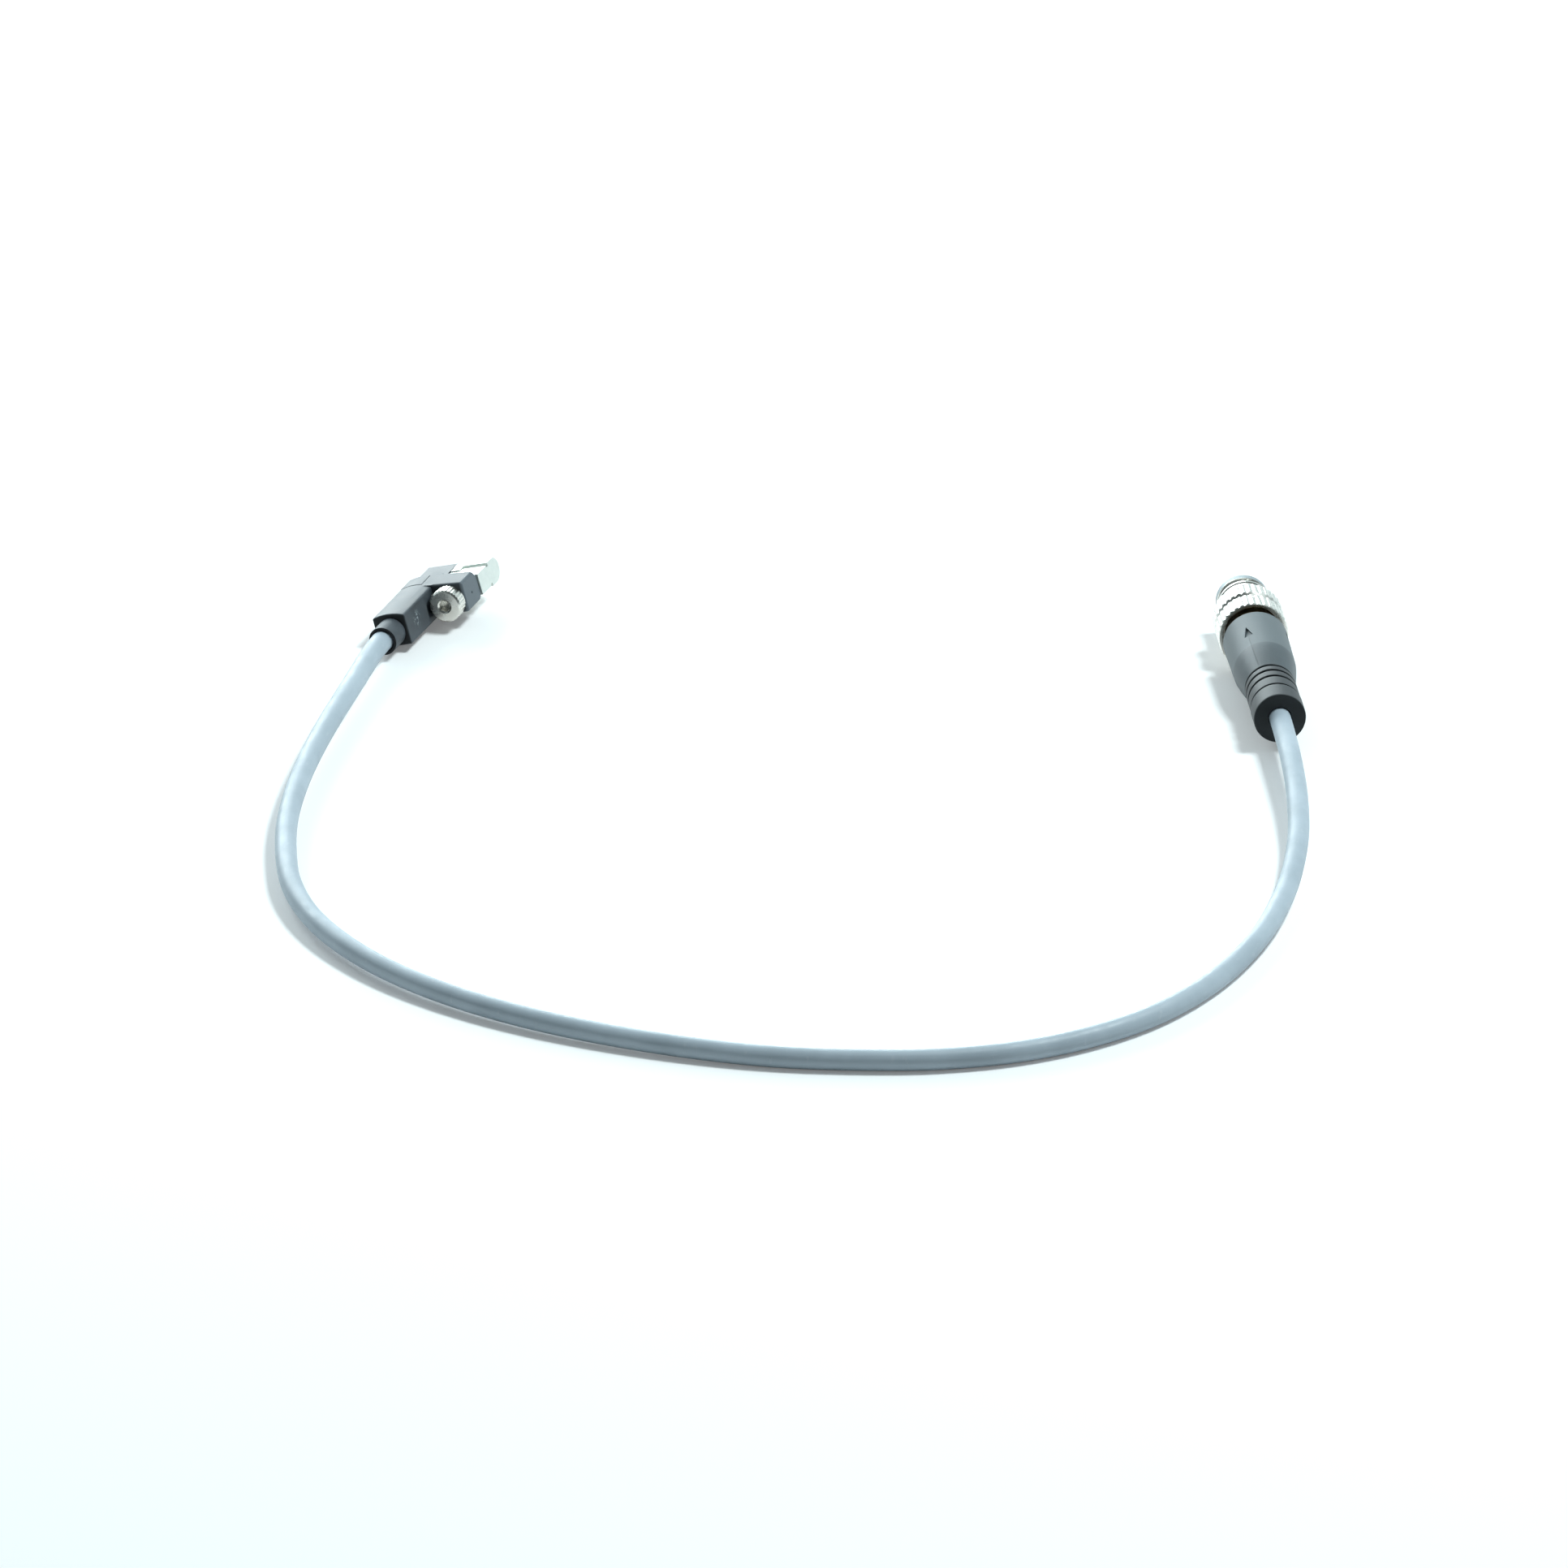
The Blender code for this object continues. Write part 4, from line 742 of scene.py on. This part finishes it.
def link(tree, shader, **sockets):
    """Link patterns to the shader."""
    for key, socket in sockets.items():
        tree.links.new(socket, shader.inputs[key.replace("_", " ")])


def spots(tree, size, detail, stretch=None):
    """Soft spots of about a size in millimetres, from 0 to 1, longer along an axis where stretched."""
    where = node(tree, "TexCoord").outputs["Object"]
    if stretch:
        where = node(tree, "Mapping", {"Vector": where, "Scale": stretch},
                     vector_type="TEXTURE").outputs["Vector"]
    return node(tree, "TexNoise", {"Vector": where, "Scale": 1 / (size * MM),
                                   "Detail": detail}).outputs["Fac"]


def in_frame(tree, place):
    """Where a point lies in a frame."""
    return node(tree, "Mapping", {"Vector": node(tree, "TexCoord").outputs["Object"],
                                  "Location": place.translation, "Rotation": place.to_euler()},
                vector_type="TEXTURE").outputs["Vector"]


def height_of(tree, where):
    """How far along the Z axis of its frame a place lies."""
    return node(tree, "SeparateXYZ", {"Vector": where}).outputs["Z"]


def calc(tree, operation, first, second):
    """One sum on two values, each a number or a socket."""
    return node(tree, "Math", {0: first, 1: second}, operation=operation).outputs["Value"]


def ramp(tree, value, low, high, start=0.35, end=0.65):
    """Spread part of a pattern over a range of numbers."""
    return node(tree, "MapRange", {"Value": value, "From Min": start, "From Max": end, "To Min": low,
                                   "To Max": high}).outputs["Result"]


def blend(tree, amount, first, second):
    """Go from one number to another; each is a number or a socket."""
    return node(tree, "Mix", {0: amount, 2: first, 3: second}, data_type="FLOAT").outputs[0]


def tint(tree, amount, first, second):
    """Go from one colour to another; each is a hex colour or a socket."""
    pair = [linear(c) if isinstance(c, str) else c for c in (first, second)]
    return node(tree, "Mix", {0: amount, 6: pair[0], 7: pair[1]}, data_type="RGBA").outputs[2]


def relief(tree, height, depth):
    """Raise a surface by a pattern, to a depth in millimetres."""
    return node(tree, "Bump", {"Height": height, "Distance": depth * MM, "Strength": 1.0}).outputs["Normal"]


print("Mid grey in linear light:", round(linear("#808080")[0], 3))

# %% [markdown]
# ### Moulded plastics
#
# The housing is polyamide from a spark-eroded mould, which leaves a grain of about a tenth of a
# millimetre, too fine to see from afar, that makes black plastic look grey where light falls on it. The
# boot and the plug are moulded in polyurethane, which is softer and duller. The grain is drawn a little
# coarser than it is, so that it doesn't vanish in the render. The faces at the cable's end carry painted
# shade, a darker colour because they face away from the lights. The plug's collar and ribs are darker
# than the rest. The plug's barrel carries a painted sheen and the ear's outer face painted light: both
# are paler where the lights fall on them. The housing's side has a few fine scratches, which are lines
# of equal height in a noise.

# %% Make the moulded plastics
SHEEN_CHANGE, BAND_EDGE = 0.02, 0.04
END_FACE, SCRATCH_SPACING, SCRATCH_WIDTH = 0.05, 1.1, 0.02


def moulding(name, dark, light, roughness, grain, depth, spread):
    """A moulded plastic: colour and sheen vary a little over a few millimetres, with a fine grain."""
    made, tree, shader = surface(name, light, roughness, ior=1.53)
    cloud = spots(tree, spread, 3)
    link(tree, shader, Base_Color=tint(tree, ramp(tree, cloud, 0, 1), dark, light),
         Roughness=ramp(tree, cloud, roughness - SHEEN_CHANGE, roughness + SHEEN_CHANGE),
         Normal=relief(tree, spots(tree, grain, 2), depth))
    return made


def band_finish_or_painted_light(made, place, low, high, hex_colour, roughness):
    """Give the part of a piece between two heights of a frame another colour and sheen: a finish of its own,
    or painted light or shade.
    """
    tree, shader = shader_of(made)
    height = height_of(tree, in_frame(tree, place))
    over = ramp(tree, height, 0, 1, (low - BAND_EDGE) * MM, (low + BAND_EDGE) * MM)
    under = ramp(tree, height, 1, 0, (high - BAND_EDGE) * MM, (high + BAND_EDGE) * MM)
    amount = calc(tree, "MULTIPLY", over, under)
    colour = shader.inputs["Base Color"].links[0].from_socket
    sheen = shader.inputs["Roughness"].links[0].from_socket
    link(tree, shader, Base_Color=tint(tree, amount, colour, hex_colour),
         Roughness=blend(tree, amount, sheen, roughness))


def scuffs(made, place, centre, reach, hex_colour):
    """Fine pale scratches around one point of a frame, in millimetres."""
    tree, shader = shader_of(made)
    away = node(tree, "VectorMath", {0: node(tree, "TexCoord").outputs["Object"],
                                     1: place @ (Vector(centre) * MM)}, operation="DISTANCE").outputs["Value"]
    near = ramp(tree, away, 1, 0, 0.4 * reach * MM, reach * MM)
    lines = node(tree, "Math", {0: spots(tree, SCRATCH_SPACING, 3), 1: 0.5, 2: SCRATCH_WIDTH},
                 operation="COMPARE").outputs["Value"]
    colour = shader.inputs["Base Color"].links[0].from_socket
    link(tree, shader, Base_Color=tint(tree, calc(tree, "MULTIPLY", near, lines), colour, hex_colour))


polyamide = moulding("black polyamide, moulded with a spark-eroded grain", "#2c3238", "#384047", 0.5, 0.16,
                     0.012, 2.6)
boot_polyurethane = moulding("dark grey polyurethane, moulded boot", "#363d43", "#41484f", 0.55, 0.2, 0.01,
                             3.0)
plug_polyurethane = moulding("dark grey polyurethane, moulded plug", "#3c454a", "#4a5358", 0.5, 0.22, 0.012,
                             4.0)
carrier_plastic = moulding("black glass-filled polyamide, moulded", "#17181a", "#202225", 0.45, 0.1, 0.008,
                           1.5)
# Painted shade: the housing's rear face, the boot's front end and the plug's end face are drawn darker, as
# they face away from the lights.
band_finish_or_painted_light(polyamide, HEAD @ ALONG_Y, -1, END_FACE, "#171b1e", 0.8)
band_finish_or_painted_light(boot_polyurethane, HEAD @ ALONG_Y, -9, 0.08 - BOOT_LENGTH, "#121518", 0.85)
band_finish_or_painted_light(plug_polyurethane, PLUG, -1, END_FACE, "#1b2023", 0.85)
band_finish_or_painted_light(plug_polyurethane, PLUG, END_FACE, DOME_START, "#22272b", 0.55)
# Painted sheen: the plug's barrel is paler where the rear light glances off it.
band_finish_or_painted_light(plug_polyurethane, PLUG, SHOULDER_AT, 40, "#5a6367", 0.58)
# Painted light: the ear's outer face is paler where the high light falls on it.
band_finish_or_painted_light(polyamide, HEAD @ Matrix.Rotation(math.radians(90), 4, "Y"), EAR_SIDE - 0.4, EAR_SIDE + 1,
            "#566067", 0.5)
scuffs(polyamide, HEAD, (HALF_WIDTH, 3.9, 0.3), 1.5, "#8a9398")
print("Moulded plastics:", [made.name for made in (polyamide, boot_polyurethane, plug_polyurethane,
                                                   carrier_plastic)])

# %% [markdown]
# ### Cable jacket
#
# The jacket is extruded, so its surface is smooth along its length and slightly matt from talcum and
# handling. It has faint lighter patches where it rubbed, and its grey leans a little to blue.

# %% Make the cable's jacket
PATCHES, RUBS, JACKET_GRAIN = 9.0, 1.6, 0.25

jacket, tree, shader = surface("grey polyurethane jacket, extruded", "#a9b6c0", 0.5)
cloud = spots(tree, PATCHES, 3)
rubs = spots(tree, RUBS, 5, (0.5, 1, 1))
clean = tint(tree, ramp(tree, cloud, 0, 1), "#a2afb9", "#afbcc6")
link(tree, shader, Base_Color=tint(tree, ramp(tree, rubs, 0, 0.35, 0.62, 0.74), clean, "#c3cacf"),
     Roughness=ramp(tree, rubs, 0.44, 0.6), Normal=relief(tree, spots(tree, JACKET_GRAIN, 3), 0.008))
print("Jacket patches and rubs in mm:", PATCHES, RUBS)

# %% [markdown]
# ### Turned and plated metal
#
# A turned piece carries fine marks round its axis, rings on its faces and circles on its sides. One
# number does both: the distance from the axis plus the height along it, fed to a one-dimensional noise.
# Nickel plate over brass is bright and slightly warm, and duller on the plain rim in front of the
# thread. The pins are gold plated, and the sleeve under the nut is bare brass, drawn darker as painted
# shade, since it sits in the dark recess behind the nut.

# %% Make the turned metals
def turned_metal(name, hex_colour, dull, roughness, place, mark, depth):
    """A turned metal with marks of a size in millimetres round the Z axis of a frame."""
    made, tree, shader = surface(name, hex_colour, roughness, 1.0)
    where = in_frame(tree, place)
    across = node(tree, "VectorMath", {0: where, 1: (1, 1, 0)}, operation="MULTIPLY").outputs["Vector"]
    radius = node(tree, "VectorMath", {0: across}, operation="LENGTH").outputs["Value"]
    along = calc(tree, "ADD", radius, height_of(tree, where))
    marks = node(tree, "TexNoise", {"W": along, "Scale": 1 / (mark * MM), "Detail": 3.0},
                 noise_dimensions="1D").outputs["Fac"]
    cloud = spots(tree, 1.4, 3)
    link(tree, shader, Base_Color=tint(tree, ramp(tree, cloud, 0, 1), dull, hex_colour),
         Roughness=ramp(tree, cloud, roughness - 0.02, roughness + 0.03),
         Normal=relief(tree, marks, depth))
    return made


nut_nickel = turned_metal("nickel-plated brass, turned nut", "#e6e4de", "#dbd9d2", 0.28, PLUG, 0.12, 0.002)
screw_nickel = turned_metal("nickel-plated steel, turned screw", "#dedcd5", "#d2cfc7", 0.26, SCREW_AXIS, 0.1,
                            0.002)
band_finish_or_painted_light(nut_nickel, PLUG, THREAD_END + 0.3, NUT_END + 1, "#9ba3a6", 0.6)
# Painted shade: the sleeve's brass is drawn darker than bare brass, as it sits in the dark recess behind the
# nut.
sleeve_brass_painted_shade = turned_metal("brass, turned", "#7d6437", "#54431f", 0.4, PLUG, 0.15, 0.005)
pin_gold = turned_metal("gold-plated brass, turned", "#f0cd85", "#e0b866", 0.22, PLUG, 0.12, 0.003)
print("Turned metals:", [made.name for made in (nut_nickel, screw_nickel, sleeve_brass_painted_shade, pin_gold)])

# %% [markdown]
# ### Sintered steel
#
# The clamp bar is a pale, slightly green metal with a satin surface, as sintered and tumbled steel has.
# Tumbling leaves no direction, so plain spots are right for its sheen and its faint dents.

# %% Make the bar's steel
STEEL_CLOUDS, STEEL_GRAIN = 0.9, 0.25

bar_steel, tree, shader = surface("stainless steel, sintered and tumbled", "#d7dcd7", 0.45, 1.0)
cloud = spots(tree, STEEL_CLOUDS, 4)
link(tree, shader, Base_Color=tint(tree, ramp(tree, cloud, 0, 1), "#d3d8d3", "#dbdfda"),
     Roughness=ramp(tree, cloud, 0.42, 0.48), Normal=relief(tree, spots(tree, STEEL_GRAIN, 2), 0.004))
print("Bar's grain in mm:", STEEL_GRAIN)

# %% [markdown]
# ### Electronics and leads
#
# The board, its parts and the leads are inside the mouldings and show only when the switch is taken
# apart. They still get their own finishes: a green solder mask with paler tracks, black epoxy, a clear
# yellow lens, fired ceramic, and three colours of lead insulation.

# %% Make the finishes inside
board_mask, tree, shader = surface("glass epoxy board with solder mask", "#0f5a34", 0.35)
tracks = node(tree, "TexWave", {"Vector": node(tree, "TexCoord").outputs["Object"], "Scale": 330.0,
                                "Distortion": 1.5, "Detail": 0.0}, bands_direction="X").outputs["Fac"]
raised = ramp(tree, tracks, 0, 1, 0.7, 0.8)
link(tree, shader, Base_Color=tint(tree, raised, "#0d4f2e", "#2b7a4b"), Normal=relief(tree, raised, 0.02))
chip_epoxy = moulding("black epoxy chip package", "#1a1b1c", "#242527", 0.5, 0.08, 0.004, 0.8)
lens = moulding("yellow polycarbonate lens", "#d99a1c", "#e6ad33", 0.2, 0.5, 0.002, 0.6)
shader_of(lens)[1].inputs["Transmission Weight"].default_value = 0.5
ceramic = moulding("fired ceramic capacitor", "#8a7457", "#9a8466", 0.4, 0.1, 0.004, 0.5)
insulation = {
    colour: moulding(f"{colour} lead insulation, extruded", dark, light, 0.42, 0.15, 0.004, 2.0)
    for colour, dark, light in (("brown", "#4a2c1a", "#563420"), ("black", "#1c1d1f", "#262729"),
                                ("blue", "#1f4a94", "#2856a6"))
}
print("Leads:", *insulation)

# %% [markdown]
# ## Putting the finishes on
#
# New pieces take one material each. The CAD pieces that stay keep their meshes, and only the material in
# their slots changes.

# %% Assign the materials
for piece, finish in ((housing, polyamide), (cap, polyamide), (bar, bar_steel), (boot, boot_polyurethane),
                      (screw, screw_nickel), (grip, plug_polyurethane), (nut, nut_nickel), (cable, jacket)):
    piece.data.materials.clear()
    piece.data.materials.append(finish)

kept_nodes = {
    "circuit_board": board_mask, "bridge_chip": chip_epoxy, "switching_chip": chip_epoxy,
    "filter_capacitor": ceramic, "status_led": lens, "support_sleeve": sleeve_brass_painted_shade,
    "contact_carrier": carrier_plastic, "contact_pin_1": pin_gold, "contact_pin_3": pin_gold,
    "contact_pin_4": pin_gold,
}
for colour, finish in insulation.items():
    kept_nodes["lead_" + colour] = finish
    kept_nodes["plug_lead_" + colour] = finish
for name, finish in kept_nodes.items():
    for slot in frame["nodes"][name].material_slots:
        slot.material = finish
print("CAD pieces with a new finish:", len(kept_nodes))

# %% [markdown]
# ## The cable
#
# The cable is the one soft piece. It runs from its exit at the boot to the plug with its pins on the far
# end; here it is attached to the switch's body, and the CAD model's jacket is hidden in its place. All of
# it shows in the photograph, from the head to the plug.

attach(cable, "switch")
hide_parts("cable_jacket")

# %% [markdown]
# ## Table and light
#
# The photograph is a catalogue picture: the switch lies on white, lit by large soft lights from above and
# behind, so that faces towards the camera are dark and the shadows are faint and bluish. The table is a
# pale sheet that takes the shadow and adds a little of its own light for the camera, so that it reaches
# white. The sky is white all round, and darker on the camera's side, as a studio is.

# %% Set the table and the lights
TABLE_SIZE, TABLE_GLOW = 12, 0.15
LIT_POINT, LIGHT_COLOUR, SKY_COLOUR = Vector((0.07, -0.05, 0)), "#eefafc", "#e2f6fb"

bpy.ops.object.select_all(action="DESELECT")
bpy.ops.mesh.primitive_plane_add(size=TABLE_SIZE, location=(0.07, -0.04, 0))
table = keep("table")
table_paper, tree, shader = surface("white backdrop card", "#f0f1f1", 0.9)
path = node(tree, "LightPath").outputs
seen = calc(tree, "MAXIMUM", path["Is Camera Ray"], path["Is Glossy Ray"])
seen = calc(tree, "MAXIMUM", seen, path["Is Transmission Ray"])
shader.inputs["Specular IOR Level"].default_value = 0.0
shader.inputs["Emission Color"].default_value = (1, 1, 1, 1)
link(tree, shader, Emission_Strength=calc(tree, "MULTIPLY", seen, TABLE_GLOW))
table.data.materials.append(table_paper)

world = bpy.data.worlds.new("studio")
bpy.context.scene.world = world
world.use_nodes = True
tree = world.node_tree
background = tree.nodes["Background"]
near_side = node(tree, "VectorMath", {0: node(tree, "TexCoord").outputs["Generated"], 1: back},
                 operation="DOT_PRODUCT").outputs["Value"]
fill = ramp(tree, near_side, 0.6, 0.06, -0.3, 0.7)
mirrored = ramp(tree, near_side, 1.0, 0.12, 0.0, 0.65)
path = node(tree, "LightPath").outputs
clear = calc(tree, "MAXIMUM", path["Is Glossy Ray"], path["Is Transmission Ray"])
level = blend(tree, path["Is Camera Ray"], blend(tree, clear, fill, mirrored), 1.0)
tree.links.new(tint(tree, path["Is Camera Ray"], SKY_COLOUR, "#ffffff"), background.inputs["Color"])
tree.links.new(level, background.inputs["Strength"])


def softbox(name, place, size, power):
    """A square soft light that faces the switch."""
    data = bpy.data.lights.new(name, "AREA")
    data.shape = "SQUARE"
    data.size = size
    data.energy = power
    data.color = linear(LIGHT_COLOUR)[:3]
    lamp = bpy.data.objects.new(name, data)
    bpy.context.scene.collection.objects.link(lamp)
    lamp.location = place
    lamp.rotation_euler = (Vector(place) - LIT_POINT).to_track_quat("Z", "Y").to_euler()
    return lamp


lights = [
    softbox("high_light", (0.43, 0.19, 0.85), 0.22, 8.0),
    softbox("left_light", (-0.52, 0.34, 0.42), 0.34, 2.3),
    softbox("rear_light", (-0.66, 1.09, 0.34), 0.75, 11.5),
]
bpy.context.scene.view_settings.view_transform = "Standard"
print("Lights:", len(lights))
